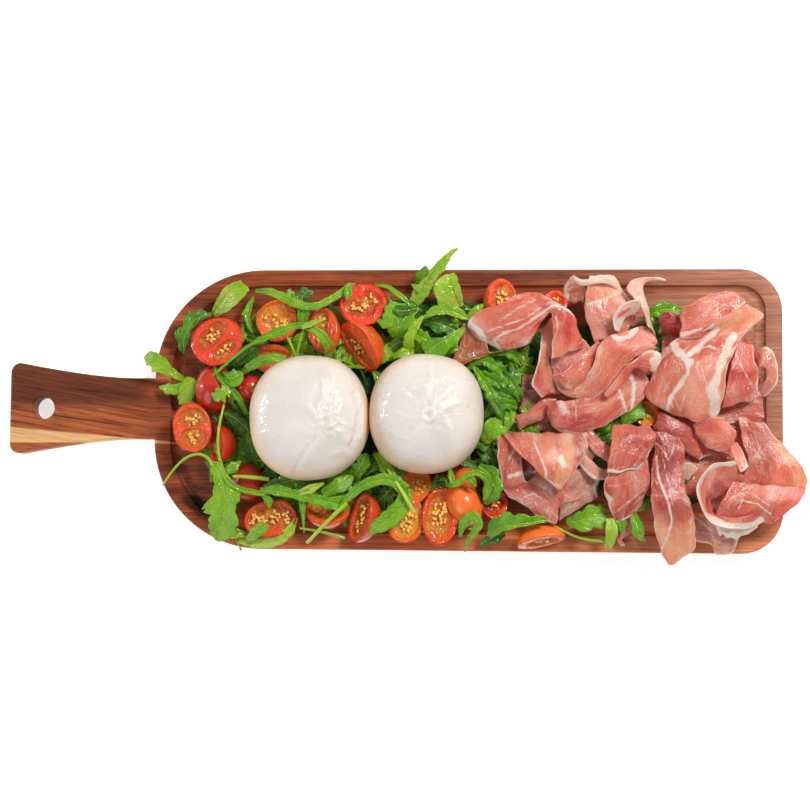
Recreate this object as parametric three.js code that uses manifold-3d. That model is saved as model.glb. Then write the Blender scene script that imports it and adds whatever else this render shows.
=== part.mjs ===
// Two burratas with rocket leaves, halved cherry tomatoes and cured ham on a wooden paddle board.
// Millimetres, +Z up, the underside of the board at z = 0, its handle towards -X.
import * as THREE from 'three';
import { mergeVertices } from 'three/addons/utils/BufferGeometryUtils.js';
import Module from 'manifold-3d';

const wasm = await Module();
wasm.setup();

const gap = 0.3; // between a piece and the board under it
const clearance = 0.5; // how far a piece is held off the pieces placed before it
const shortestEdge = 0.08; // shorter edges, which cuts leave, shrink to a point

const board = {
  length: 480,
  width: 174,
  thickness: 15,
  bodyStart: -147.5, // where the handle meets the body
  neckEnd: -160, // where the handle starts to widen
  flare: -185, // and where it widens most
  neckWidth: 38,
  handleWidth: 57,
  handleCorner: 6,
  nearCorner: 68, // corner radius at the handle side
  farCorner: 26,
  edgeRound: 1.5,
  holeInset: 21.3,
  holeRadius: 7,
  grooveInset: 14,
  grooveRadius: 3.9,
  grooveDepth: 3.1,
  grooveFarCorner: 15,
};

// What the two cheeses share. Belly is how high they are widest, as a share of their height, a fullness
// under 1 fills out the side, and a spread is in knot sizes.
const burrata = {
  base: 17,
  squareness: 2.5, // 2 is an ellipse in plan
  belly: 0.43,
  lowerFullness: 0.72,
  upperFullness: 0.94,
  pleatHeight: 0.9,
  pleatSpread: 2.4,
  knobHeight: 2.2,
  knobSpread: 0.6,
};
const burratas = [
  { name: 'burrata_left', x: -47, y: -7, size: [73, 76, 48], knot: [13, -4], knotSize: 9, pleats: 7 },
  { name: 'burrata_right', x: 24.5, y: -4, size: [69.4, 73, 46], knot: [3, -3], knotSize: 6, pleats: 9 },
];

// Cut tomatoes: middle of the cut face, the way it faces (0 0 is straight up), the half's long, wide and
// deep radius and the turn of its long side. A minus depth lays the half with its skin up.
const tomatoes = [
  { at: [-105, 40, 35], faces: [-0.15, 0.05], size: [16.5, 15, 14.5], turn: 20 },
  { at: [-68, 53, 33], faces: [0.05, -0.15], size: [13.5, 12.5, 12], turn: 60 },
  { at: [-40, 47, 33], faces: [-0.45, 0], size: [14.5, 10.5, 11.5], turn: 100 },
  { at: [-15, 63, 33], faces: [0.1, 0.1], size: [14.5, 13.5, 13.5], turn: 10 },
  { at: [-18, 36.5, 29], faces: [-0.74, -0.55], size: [15.5, 11.5, 16], turn: 127 },
  { at: [-72, 30, 30], faces: [-0.1, -0.2], size: [12.5, 9, 9.5], turn: 0 },
  { at: [-108, 12, 24], faces: [0, 0], size: [15, 12, -12], turn: 95 },
  { at: [-120, -13, 33], faces: [-0.05, -0.05], size: [15.5, 12, 12], turn: 100 },
  { at: [-106, -23, 30], faces: [-0.75, -0.1], size: [12, 9.5, 14], turn: 95 },
  { at: [-86, 12, 24], faces: [0.2, 0.1], size: [9, 8.5, -8.5], turn: 90 },
  { at: [-86, -46, 24], faces: [0, 0], size: [11.5, 10, -10.5], turn: 90 },
  { at: [-71, -68, 31], faces: [0, 0.15], size: [16.5, 11.5, 11], turn: 10 },
  { at: [-36, -62, 30], faces: [0.05, 0.6], size: [13.5, 12, 12], turn: 0 },
  { at: [-16, -67, 31], faces: [-0.74, 0.17], size: [15.5, 11, 13], turn: 77 },
  { at: [12, -68, 33], faces: [0.1, 0.15], size: [14.5, 11.5, 11.5], turn: 80 },
  { at: [17, -48, 29], faces: [0.2, 0.1], size: [12, 9.5, 9.5], turn: 60 },
  { at: [33, -66, 33], faces: [0.1, 0.12], size: [17.5, 11.5, 11.5], turn: 88 },
  { at: [47, -58, 24], faces: [0, 0], size: [14.5, 11, -14.5], turn: 60 },
  { at: [48, -44, 22], faces: [0, 0], size: [8.5, 8, -8], turn: 0 },
  { at: [66, -58, 28], faces: [0.2, 0.1], size: [9.5, 8, 8.5], turn: 70 },
  { at: [94, -81, 25], faces: [0.2, -0.9], size: [15, 8.5, 12], turn: 13 },
  { at: [70, 68, 33], faces: [0.35, 0.15], size: [13.5, 10.5, 11.5], turn: 70 },
  { at: [102, 65, 28], faces: [0.2, 0.3], size: [8.5, 7.5, 8.5], turn: 60 },
  { at: [157, -3, 28], faces: [0.1, 0], size: [8, 7.5, 8], turn: 90 },
];

// Ham slices: how far the middle bows up, and stations along the slice, each with one edge's x, y, z
// and then the other edge's.
const hamThickness = 1.1;
const rowsPerStation = 1.4;
const slices = [
  { bow: 5, stations: [[49, 53, 38, 49, 50, 36], [57, 58, 42, 55, 42, 33], [69, 62, 44, 67, 36, 33],
    [79, 67, 45, 77, 35, 35], [88, 69, 45, 87, 40, 40], [97, 65, 46, 93, 50, 45], [106, 60, 49, 99, 56, 52],
    [113, 53, 46, 100, 48, 50], [117, 43, 42, 100, 39, 46], [118, 36, 39, 99, 28, 43]] },
  { bow: 0, stations: [[46, 52, 31, 54, 47, 31], [45, 43, 28, 60, 40, 30], [40, 29, 23, 56, 31, 27],
    [45, 26, 22, 67, 34, 28]] },
  { bow: 0, stations: [[93, 46, 34, 100, 54, 37], [93, 37, 38, 100, 39, 38], [91, 26, 38, 98, 28, 36],
    [88, 14, 36, 102, 21, 32], [93, 7, 32, 108, 10, 31]] },
  { bow: 2, stations: [[104, 6, 28, 98, -1, 29], [94, 5, 31, 96, -6, 28], [85, -2, 31, 88, -9, 27],
    [76, -5, 29, 81, -13, 26]] },
  { bow: 1, stations: [[82, 21, 24, 80, -13, 23], [96, 22, 24, 96, -14, 23], [114, 28, 26, 114, -15, 24],
    [132, 34, 27, 132, -10, 24], [150, 41, 27, 151, 2, 24], [162, 42, 26, 160, 7, 24]] },
  { bow: 2, stations: [[127, 40, 39, 129, 38, 36], [121, 34, 42, 126, 31, 38], [113, 26, 43, 123, 22, 39],
    [106, 21, 42, 117, 15, 40], [100, 19, 38, 112, 9, 37]] },
  { bow: 1, stations: [[98, 25, 32, 109, 31, 33], [102, 14, 34, 114, 21, 36], [109, 7, 36, 118, 16, 39],
    [123, 5, 38, 121, 20, 41], [131, 10, 41, 125, 27, 44], [139, 20, 43, 127, 36, 45],
    [148, 29, 45, 134, 42, 45], [158, 34, 44, 143, 45, 44], [163, 40, 41, 155, 49, 41]] },
  { bow: 3, stations: [[122, 80, 31, 138, 81, 29], [121, 72, 36, 141, 72, 35], [119, 63, 39, 147, 63, 38],
    [120, 54, 39, 149, 54, 36], [123, 46, 37, 145, 47, 35], [126, 40, 35, 137, 42, 34]] },
  { bow: 2, stations: [[108, 76, 26, 106, 67, 24], [112, 80, 32, 113, 64, 27], [117, 78, 34, 117, 65, 28],
    [120, 75, 33, 119, 64, 29]] },
  { bow: 1, stations: [[169, 79, 24, 169, 78, 24], [163, 80, 28, 162, 78, 27], [155, 79, 34, 156, 76, 32],
    [147, 76, 40, 154, 71, 38], [144, 70, 44, 155, 66, 42], [150, 63, 48, 157, 60, 45],
    [154, 56, 48, 158, 53, 45], [156, 49, 46, 161, 43, 42]] },
  { bow: 0, stations: [[152, 63, 52, 152, 57, 45], [146, 62, 53, 147, 55, 43], [139, 58, 52, 143, 52, 42],
    [136, 53, 49, 141, 47, 41], [137, 46, 45, 142, 45, 41]] },
  { bow: 3, stations: [[98, 3, 35, 97, -2, 33], [105, 4, 38, 102, -13, 35], [114, 5, 38, 114, -18, 36],
    [126, 6, 39, 126, -13, 37], [136, 13, 40, 138, -7, 37], [146, 20, 41, 152, 3, 36],
    [155, 25, 40, 158, 12, 36]] },
  { bow: 2, stations: [[131, 8, 44, 133, 5, 43], [139, 18, 47, 142, 14, 45], [149, 28, 50, 149, 23, 47],
    [157, 33, 52, 155, 21, 47], [164, 31, 51, 162, 21, 47]] },
  { bow: 3, stations: [[196, 50, 53, 214, 61, 52], [190, 46, 50, 224, 55, 48], [183, 43, 46, 217, 47, 48],
    [173, 40, 45, 209, 37, 48], [165, 33, 43, 203, 23, 48], [159, 19, 41, 201, 7, 46],
    [156, 7, 38, 198, -4, 41], [173, -4, 35, 191, -10, 37]] },
  { bow: 2, stations: [[214, 63, 44, 206, 54, 44], [207, 69, 45, 200, 51, 45], [197, 68, 46, 195, 47, 47],
    [187, 64, 47, 187, 41, 49], [176, 58, 44, 176, 41, 46]] },
  { bow: 5, stations: [[164, 56, 34, 165, 45, 31], [169, 58, 37, 171, 44, 32],
    [177, 56, 38, 179, 43, 34]] },
  { bow: 2, stations: [[212, 41, 38, 219, 37, 34], [208, 33, 40, 220, 30, 36], [205, 21, 42, 222, 20, 37],
    [202, 9, 41, 222, 12, 36], [201, 0, 37, 225, 7, 32]] },
  { bow: 0, stations: [[221, 30, 34, 223, 28, 26], [225, 35, 36, 227, 32, 26], [231, 33, 35, 230, 28, 26],
    [233, 26, 34, 231, 23, 26], [235, 17, 31, 230, 19, 25], [232, 12, 28, 228, 15, 24],
    [226, 8, 27, 225, 14, 23]] },
  { bow: 3, stations: [[183, -10, 35, 188, -20, 34], [190, -7, 39, 193, -24, 37],
    [198, -5, 42, 199, -26, 39], [205, -10, 42, 206, -24, 39], [209, -14, 39, 208, -19, 38]] },
  { bow: 2, stations: [[165, -2, 32, 160, -11, 31], [172, -5, 34, 165, -15, 34],
    [182, -11, 33, 173, -20, 33], [189, -19, 31, 181, -27, 31], [195, -27, 29, 189, -31, 29]] },
  { bow: 4, stations: [[137, -10, 38, 158, -11, 36], [135, -17, 45, 161, -17, 42],
    [134, -29, 47, 158, -27, 43], [132, -40, 45, 151, -37, 42]] },
  { bow: 4, stations: [[133, -42, 39, 157, -30, 35], [131, -48, 41, 158, -40, 36],
    [132, -54, 38, 157, -49, 34], [137, -62, 32, 149, -59, 31], [140, -67, 29, 145, -65, 28]] },
  { bow: 3, stations: [[160, -13, 36, 176, -17, 35], [161, -24, 39, 178, -26, 39],
    [159, -40, 41, 178, -42, 41], [159, -55, 40, 182, -57, 39], [161, -71, 37, 185, -73, 36],
    [165, -85, 32, 185, -83, 32], [170, -94, 28, 177, -91, 28]] },
  { bow: 4, stations: [[75, -17, 40, 105, -15, 38], [79, -24, 46, 110, -21, 43],
    [86, -32, 48, 111, -29, 46], [95, -40, 47, 111, -38, 46], [104, -49, 43, 107, -45, 43]] },
  { bow: 2, stations: [[68, -18, 35, 76, -18, 37], [67, -26, 38, 77, -27, 41], [68, -37, 38, 80, -37, 40],
    [70, -47, 36, 77, -44, 37], [74, -53, 34, 86, -41, 34], [82, -56, 33, 93, -39, 35],
    [93, -68, 32, 101, -48, 36], [101, -70, 30, 103, -58, 33]] },
  { bow: 1, stations: [[105, -68, 27, 103, -51, 30], [112, -63, 29, 109, -42, 33],
    [120, -58, 29, 117, -36, 34], [127, -53, 27, 129, -37, 31]] },
  { bow: 1, stations: [[69, -19, 25, 72, -51, 25], [87, -17, 26, 90, -55, 24], [108, -18, 27, 108, -54, 25],
    [129, -19, 27, 130, -54, 24], [153, -14, 27, 153, -53, 25], [177, -5, 26, 183, -52, 25],
    [202, -5, 26, 202, -62, 24], [228, -10, 25, 225, -65, 23]] },
  { bow: 0, stations: [[207, -32, 43, 214, -42, 36], [195, -34, 45, 208, -46, 33],
    [188, -41, 46, 200, -52, 31], [185, -51, 45, 195, -55, 29], [188, -61, 43, 196, -60, 30],
    [196, -69, 41, 197, -63, 36], [209, -72, 39, 208, -65, 40], [222, -69, 37, 220, -62, 41],
    [233, -62, 35, 229, -56, 41]] },
  { bow: 2, stations: [[211, -4, 30, 226, -9, 30], [213, -19, 35, 237, -22, 36],
    [216, -33, 39, 248, -35, 38], [210, -46, 37, 250, -46, 37], [202, -53, 33, 238, -56, 36],
    [199, -59, 31, 230, -60, 35]] },
  { bow: 0, stations: [[204, -21, 38, 210, -20, 35], [207, -30, 41, 213, -27, 39],
    [211, -38, 42, 216, -35, 42]] },
  { bow: 1, stations: [[183, -57, 29, 187, -82, 24], [188, -60, 30, 191, -79, 26],
    [192, -64, 31, 196, -79, 26], [196, -69, 32, 201, -86, 24], [206, -71, 33, 208, -86, 25],
    [216, -71, 33, 217, -78, 29], [226, -69, 32, 225, -72, 31]] },
  { bow: 1, stations: [[166, 43, 27, 162, 7, 26], [183, 48, 30, 177, -2, 28], [198, 50, 31, 196, -8, 28],
    [211, 48, 29, 214, -9, 26], [223, 36, 25, 227, -5, 23]] },
];

const heap = {
  start: -137,
  end: 206,
  halfWidth: 78,
  frontCorner: 62, // how soon it reaches its full width from an end, on the -Y side
  backCorner: 46,
  step: 9,
  rows: 16,
  height: 12,
  rim: 3, // height at its outer edge
  least: 0.8,
  headroom: 1, // kept free under the pieces that stand on it
  ragged: 4, // how far its outline is drawn in, so that the leaves that stick out stay on the board
};

function finish(colour, roughness) {
  return new THREE.MeshStandardMaterial({ color: colour, roughness, metalness: 0 });
}

// Only places are kept, and vertices at one place become one.
function weld(geometry) {
  geometry.deleteAttribute('normal');
  geometry.deleteAttribute('uv');
  return mergeVertices(geometry, 1e-4);
}

function toSolid(geometry) {
  const welded = weld(geometry);
  const vertProperties = new Float32Array(welded.attributes.position.array);
  const triVerts = new Uint32Array(welded.index.array);
  const solid = new wasm.Manifold(new wasm.Mesh({ numProp: 3, vertProperties, triVerts }));
  if (solid.volume() < 0) throw new Error('a piece is inside out');
  return solid;
}

// Triangles as lists of three vertex numbers, with the ends of each very short edge made one vertex.
function closeShortEdges(triangles, places) {
  const stands = places.map((_, i) => i);
  for (const corners of triangles) {
    corners.forEach((corner, k) => {
      const from = stands[corner];
      const to = stands[corners[(k + 1) % 3]];
      if (from !== to && places[from].distanceTo(places[to]) < shortestEdge) {
        stands.forEach((owner, i) => {
          if (owner === to) stands[i] = from;
        });
      }
    });
  }
  return triangles.map((corners) => corners.map((corner) => stands[corner]))
    .filter(([a, b, c]) => a !== b && b !== c && c !== a);
}

function fromSolid(solid) {
  const mesh = solid.getMesh();
  const places = [];
  const triangles = [];
  for (let i = 0; i < mesh.vertProperties.length; i += 3) {
    places.push(new THREE.Vector3().fromArray(mesh.vertProperties, i));
  }
  for (let i = 0; i < mesh.triVerts.length; i += 3) triangles.push([...mesh.triVerts.slice(i, i + 3)]);
  const geometry = new THREE.BufferGeometry();
  geometry.setFromPoints(closeShortEdges(triangles, places).flat().map((i) => places[i]));
  return mergeVertices(geometry, 1e-4);
}

function middleOf(ring) {
  return ring.reduce((sum, point) => sum.add(point), new THREE.Vector3()).divideScalar(ring.length);
}

function bodyOf(places, faces) {
  const geometry = new THREE.BufferGeometry();
  geometry.setFromPoints(places);
  geometry.setIndex(faces);
  return geometry;
}

// Faces between rings of equal length. In a loop the last ring joins the first.
function wall(rings, loop) {
  const sides = rings[0].length;
  const faces = [];
  for (let r = 0; r < rings.length - Number(!loop); r += 1) {
    const near = r * sides;
    const far = ((r + 1) % rings.length) * sides;
    for (let s = 0; s < sides; s += 1) {
      const next = (s + 1) % sides;
      faces.push(near + s, near + next, far + next, near + s, far + next, far + s);
    }
  }
  return faces;
}

// The first and the last ring end in a fan round a tip.
function tippedBody(rings, tips) {
  const sides = rings[0].length;
  const faces = wall(rings, false);
  const places = [...rings.flat(), ...tips];
  const last = (rings.length - 1) * sides;
  for (let s = 0; s < sides; s += 1) {
    const next = (s + 1) % sides;
    faces.push(places.length - 2, next, s, places.length - 1, last + s, last + next);
  }
  return bodyOf(places, faces);
}

// Each ring runs over one face of a sheet and back over the other, and its ends are closed across.
function sheetBody(rings) {
  const sides = rings[0].length;
  const faces = wall(rings, false);
  const last = (rings.length - 1) * sides;
  for (let s = 0; s < sides / 2 - 1; s += 1) {
    const over = sides - 1 - s;
    faces.push(s + 1, s, over, s + 1, over, over - 1);
    faces.push(last + s, last + s + 1, last + over - 1, last + s, last + over - 1, last + over);
  }
  return bodyOf(rings.flat(), faces);
}

function boardOutline() {
  const end = board.length / 2;
  const side = board.width / 2;
  const neck = board.neckWidth / 2;
  const grip = board.handleWidth / 2;
  const near = board.bodyStart + board.nearCorner;
  const right = Math.PI / 2;
  const shape = new THREE.Shape();
  shape.moveTo(board.bodyStart, -neck);
  shape.absarc(near, board.nearCorner - side, board.nearCorner, Math.PI, 3 * right);
  shape.absarc(end - board.farCorner, board.farCorner - side, board.farCorner, -right, 0);
  shape.absarc(end - board.farCorner, side - board.farCorner, board.farCorner, 0, right);
  shape.absarc(near, side - board.nearCorner, board.nearCorner, right, Math.PI);
  shape.lineTo(board.neckEnd, neck);
  shape.quadraticCurveTo(board.flare, neck, board.handleCorner - end, grip);
  shape.quadraticCurveTo(-end, grip, -end, grip - board.handleCorner);
  shape.lineTo(-end, board.handleCorner - grip);
  shape.quadraticCurveTo(-end, -grip, board.handleCorner - end, -grip);
  shape.quadraticCurveTo(board.flare, -neck, board.neckEnd, -neck);
  return shape;
}

// The groove's middle line, the body's outline moved in and with the handle side closed.
function groovePath() {
  const inset = board.grooveInset;
  const side = board.width / 2 - inset;
  const far = board.length / 2 - inset;
  const near = board.bodyStart + inset;
  const nearRadius = board.nearCorner - inset;
  const farRadius = board.grooveFarCorner;
  const right = Math.PI / 2;
  const path = new THREE.Path();
  path.absarc(near + nearRadius, nearRadius - side, nearRadius, Math.PI, 3 * right);
  path.absarc(far - farRadius, farRadius - side, farRadius, -right, 0);
  path.absarc(far - farRadius, side - farRadius, farRadius, 0, right);
  path.absarc(near + nearRadius, side - nearRadius, nearRadius, right, Math.PI);
  return path.getPoints(5);
}

function grooveCutter() {
  const points = groovePath().filter((p, i, all) => p.distanceTo(all[(i + 1) % all.length]) > 0.01);
  const sides = 10;
  const height = board.thickness - board.grooveDepth + board.grooveRadius;
  const rings = points.map((point, i) => {
    const before = points[(i + points.length - 1) % points.length];
    const after = points[(i + 1) % points.length];
    const along = after.clone().sub(before).normalize();
    return Array.from({ length: sides }, (_, s) => {
      const angle = -(2 * Math.PI * (s + 0.5)) / sides;
      const out = board.grooveRadius * Math.cos(angle);
      const z = height + board.grooveRadius * Math.sin(angle);
      return new THREE.Vector3(point.x + along.y * out, point.y - along.x * out, z);
    });
  });
  return bodyOf(rings.flat(), wall(rings, true));
}

function boardGeometry() {
  const plate = new THREE.ExtrudeGeometry(boardOutline(), {
    depth: board.thickness - 2 * board.edgeRound,
    bevelThickness: board.edgeRound,
    bevelSize: board.edgeRound,
    bevelOffset: -board.edgeRound,
    bevelSegments: 2,
    curveSegments: 6,
  });
  plate.translate(0, 0, board.edgeRound);
  const drill = new THREE.CylinderGeometry(board.holeRadius, board.holeRadius, 3 * board.thickness, 28);
  drill.rotateX(Math.PI / 2);
  drill.translate(board.holeInset - board.length / 2, 0, board.thickness / 2);
  return fromSolid(toSolid(plate).subtract(toSolid(drill)).subtract(toSolid(grooveCutter())));
}

// A soft ball that sags on its base and is gathered into pleats round a knot near its top.
function burrataGeometry(cheese, grow) {
  const around = 26;
  const up = 12;
  const power = burrata.squareness;
  const [width, depth, height] = cheese.size;
  const belly = burrata.belly * height;
  const rings = [];
  for (let j = 1; j < up; j += 1) {
    const lift = -Math.PI / 2 + (Math.PI * j) / up;
    const lower = lift < 0;
    const reach = Math.cos(lift) ** (lower ? burrata.lowerFullness : burrata.upperFullness);
    const z = burrata.base + belly + (lower ? belly : height - belly) * Math.sin(lift);
    rings.push(Array.from({ length: around }, (_, i) => {
      const angle = (2 * Math.PI * i) / around;
      const corner = Math.abs(Math.cos(angle)) ** power + Math.abs(Math.sin(angle)) ** power;
      const spread = reach / corner ** (1 / power);
      const x = (width / 2) * spread * Math.cos(angle);
      const y = (depth / 2) * spread * Math.sin(angle);
      const fromKnot = Math.hypot(x - cheese.knot[0], y - cheese.knot[1]);
      const turn = Math.atan2(y - cheese.knot[1], x - cheese.knot[0]);
      const near = (size) => (lower ? 0 : Math.exp(-((fromKnot / (size * cheese.knotSize)) ** 2)));
      const pleat = burrata.pleatHeight * near(burrata.pleatSpread) * Math.cos(cheese.pleats * turn);
      return new THREE.Vector3(x, y, z + pleat + burrata.knobHeight * near(burrata.knobSpread));
    }));
  }
  const middle = new THREE.Vector3(0, 0, burrata.base + belly);
  const top = new THREE.Vector3(0, 0, burrata.base + height);
  const geometry = tippedBody(rings, [new THREE.Vector3(0, 0, burrata.base), top]);
  const place = geometry.attributes.position;
  for (let i = 0; i < place.count; i += 1) {
    const point = new THREE.Vector3().fromBufferAttribute(place, i);
    const away = point.clone().sub(middle).setLength(grow);
    point.add(away).add(new THREE.Vector3(cheese.x, cheese.y, 0));
    place.setXYZ(i, point.x, point.y, point.z);
  }
  return geometry;
}

// Half a tomato: a flat cut face over half an ellipsoid of skin.
function tomatoGeometry(tomato, grow) {
  const around = 12;
  const down = 3;
  const [long, wide, deep] = tomato.size;
  const skinUp = deep < 0;
  const depth = Math.abs(deep) + grow;
  const rings = [];
  for (let j = 0; j < down; j += 1) {
    const drop = (Math.PI / 2) * (j / down);
    const reach = Math.cos(drop);
    rings.push(Array.from({ length: around }, (_, i) => {
      const angle = (2 * Math.PI * i) / around;
      const x = (long + grow) * reach * Math.cos(angle);
      const y = (wide + grow) * reach * Math.sin(angle);
      return new THREE.Vector3(x, y, grow - (depth + grow) * Math.sin(drop));
    }));
  }
  const tips = [new THREE.Vector3(0, 0, -depth), new THREE.Vector3(0, 0, grow)];
  const geometry = tippedBody(rings.reverse(), tips);
  geometry.rotateZ(THREE.MathUtils.degToRad(tomato.turn));
  if (skinUp) geometry.rotateX(Math.PI);
  const facing = new THREE.Vector3(tomato.faces[0], tomato.faces[1], 0);
  facing.z = Math.sqrt(1 - facing.lengthSq());
  geometry.applyQuaternion(new THREE.Quaternion().setFromUnitVectors(new THREE.Vector3(0, 0, 1), facing));
  geometry.translate(...tomato.at);
  return geometry;
}

// The points of a slice's middle surface: rows along it, each from one edge over its bow to the other.
function slicePoints(slice) {
  const across = 3;
  const steps = Math.max(4, Math.round(rowsPerStation * (slice.stations.length - 1)));
  const first = new THREE.CatmullRomCurve3(slice.stations.map((s) => new THREE.Vector3(s[0], s[1], s[2])));
  const second = new THREE.CatmullRomCurve3(slice.stations.map((s) => new THREE.Vector3(s[3], s[4], s[5])));
  return Array.from({ length: steps + 1 }, (_, i) => {
    const from = first.getPoint(i / steps);
    const to = second.getPoint(i / steps);
    return Array.from({ length: across + 1 }, (_, j) => {
      const share = j / across;
      const point = from.clone().lerp(to, share);
      point.z += 4 * slice.bow * share * (1 - share);
      return point;
    });
  });
}

function sliceNormal(rows, i, j) {
  const row = rows[i];
  const along = rows[Math.min(i + 1, rows.length - 1)][j].clone().sub(rows[Math.max(i - 1, 0)][j]);
  const over = row[Math.min(j + 1, row.length - 1)].clone().sub(row[Math.max(j - 1, 0)]);
  return along.cross(over).normalize();
}

// Thickens the middle surface: each row becomes a ring round the slice.
function sliceGeometry(slice, grow) {
  const rows = slicePoints(slice);
  const half = hamThickness / 2 + grow;
  const rings = rows.map((row, i) => {
    const last = row.length - 1;
    const spread = row[last].clone().sub(row[0]).setLength(grow);
    const grown = row.map((point, j) => {
      const outward = Number(j === last) - Number(j === 0);
      return point.clone().addScaledVector(spread, outward);
    });
    const normals = row.map((_, j) => sliceNormal(rows, i, j));
    const upper = grown.map((point, j) => point.clone().addScaledVector(normals[j], half));
    const lower = grown.map((point, j) => point.clone().addScaledVector(normals[j], -half));
    return [...lower, ...upper.reverse()];
  });
  if (grow > 0) {
    for (const [end, inner] of [[0, 1], [rings.length - 1, rings.length - 2]]) {
      const out = rows[end][0].clone().sub(rows[inner][0]).setLength(grow);
      rings[end].forEach((point) => point.add(out));
    }
  }
  return sheetBody(rings);
}

function boxesMeet(a, b) {
  const one = a.boundingBox();
  const two = b.boundingBox();
  return [0, 1, 2].every((k) => one.min[k] < two.max[k] && two.min[k] < one.max[k]);
}

// Each piece keeps clear of the pieces placed before it, which are held grown by the clearance.
const placed = [];
const undersides = [];

function settle(make) {
  let solid = toSolid(make(0));
  for (const other of placed) {
    if (boxesMeet(solid, other)) solid = solid.subtract(other);
  }
  const bodies = solid.decompose().sort((a, b) => b.volume() - a.volume());
  placed.push(toSolid(make(clearance)));
  return fromSolid(bodies[0]);
}

// Points over every piece that stands on the leaves, for the height that is free under it.
function noteUnderside(geometry) {
  const place = geometry.attributes.position;
  const corner = (i) => new THREE.Vector3().fromBufferAttribute(place, geometry.index.getX(i));
  for (let i = 0; i < geometry.index.count; i += 3) {
    const [a, b, c] = [corner(i), corner(i + 1), corner(i + 2)];
    const middle = a.clone().add(b).add(c).divideScalar(3);
    undersides.push(a, middle, a.clone().lerp(b, 0.5), b.clone().lerp(c, 0.5), c.clone().lerp(a, 0.5));
  }
}

function freeHeight(x, y) {
  const reach = 1.35 * heap.step; // a little under a cell's diagonal
  let lowest = Infinity;
  for (const point of undersides) {
    if (Math.hypot(point.x - x, point.y - y) < reach) lowest = Math.min(lowest, point.z);
  }
  return lowest - heap.headroom;
}

// Half the heap's width at x, rounded off at its ends and uneven like leaves that stick out.
function heapReach(x, corner, phase) {
  const fromEnd = Math.min(x - heap.start, heap.end - x, corner);
  const round = Math.sqrt(Math.max(0.04, 1 - (1 - fromEnd / corner) ** 2));
  const uneven = 3 * Math.sin(x / 9 + phase) + 2 * Math.sin(x / 4.3 + 2 * phase);
  return (heap.halfWidth + uneven - heap.ragged) * (0.2 + 0.8 * round);
}

function heapGeometry() {
  const base = board.thickness + gap;
  const columns = Math.round((heap.end - heap.start) / heap.step);
  const rings = [];
  for (let i = 0; i <= columns; i += 1) {
    const x = heap.start + ((heap.end - heap.start) * i) / columns;
    const low = -heapReach(x, heap.frontCorner, 1);
    const high = heapReach(x, heap.backCorner, 4);
    const edgeX = Math.min(i, columns - i) / 2;
    const top = Array.from({ length: heap.rows + 1 }, (_, j) => {
      const y = low + ((high - low) * j) / heap.rows;
      const edge = Math.min(edgeX, Math.min(j, heap.rows - j), 1);
      const lumps = 0.5 + 0.5 * Math.sin(x / 7 + Math.sin(y / 11)) * Math.cos(y / 8 + Math.sin(x / 13));
      const wanted = heap.rim + edge * (heap.height - heap.rim) * (0.55 + 0.45 * lumps);
      const height = Math.max(heap.least, Math.min(wanted, freeHeight(x, y) - base));
      return new THREE.Vector3(x, y, base + height);
    });
    rings.push([...top, new THREE.Vector3(x, high, base), new THREE.Vector3(x, low, base)].reverse());
  }
  return tippedBody(rings, [middleOf(rings[0]), middleOf(rings[rings.length - 1])]);
}

function named(name, geometry, material) {
  const mesh = new THREE.Mesh(geometry, material);
  mesh.name = name;
  return mesh;
}

const platter = new THREE.Group();
platter.add(named('board', boardGeometry(), finish(0x7a4630, 0.55)));

for (const cheese of burratas) {
  const geometry = settle((grow) => burrataGeometry(cheese, grow));
  noteUnderside(geometry);
  platter.add(named(cheese.name, geometry, finish(0xf1ebe0, 0.3)));
}

tomatoes.forEach((tomato, i) => {
  const geometry = settle((grow) => tomatoGeometry(tomato, grow));
  noteUnderside(geometry);
  platter.add(named(`tomato_${String(i + 1).padStart(2, '0')}`, geometry, finish(0xd0391f, 0.3)));
});

slices.forEach((slice, i) => {
  const geometry = settle((grow) => sliceGeometry(slice, grow));
  noteUnderside(geometry);
  platter.add(named(`ham_${String(i + 1).padStart(2, '0')}`, geometry, finish(0xd4786a, 0.35)));
});

platter.add(named('leaf_heap', heapGeometry(), finish(0x4f8f1c, 0.6)));

export default platter;
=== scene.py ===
# A platter: two burratas on rocket leaves with halved cherry tomatoes and folded cured ham,
# on a wooden paddle board. Metres, +Z up, the board's handle towards -X.
import math
import random
import bmesh
import bpy
import numpy as np
from mathutils import Matrix, Vector


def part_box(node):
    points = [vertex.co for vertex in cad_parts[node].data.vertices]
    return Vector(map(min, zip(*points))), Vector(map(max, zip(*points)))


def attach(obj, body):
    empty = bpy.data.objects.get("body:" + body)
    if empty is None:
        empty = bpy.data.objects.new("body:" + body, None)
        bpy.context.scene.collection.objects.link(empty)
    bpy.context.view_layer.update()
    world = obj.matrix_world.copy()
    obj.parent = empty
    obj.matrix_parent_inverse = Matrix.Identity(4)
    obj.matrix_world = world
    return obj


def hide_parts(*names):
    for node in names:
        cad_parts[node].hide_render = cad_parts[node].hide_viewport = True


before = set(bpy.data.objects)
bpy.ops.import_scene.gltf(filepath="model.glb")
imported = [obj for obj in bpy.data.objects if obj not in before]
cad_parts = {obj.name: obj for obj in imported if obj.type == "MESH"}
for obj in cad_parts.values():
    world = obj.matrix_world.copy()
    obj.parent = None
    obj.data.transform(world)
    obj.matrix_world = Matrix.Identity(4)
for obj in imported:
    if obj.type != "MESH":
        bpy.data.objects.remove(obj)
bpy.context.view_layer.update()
mm = 0.001

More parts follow.
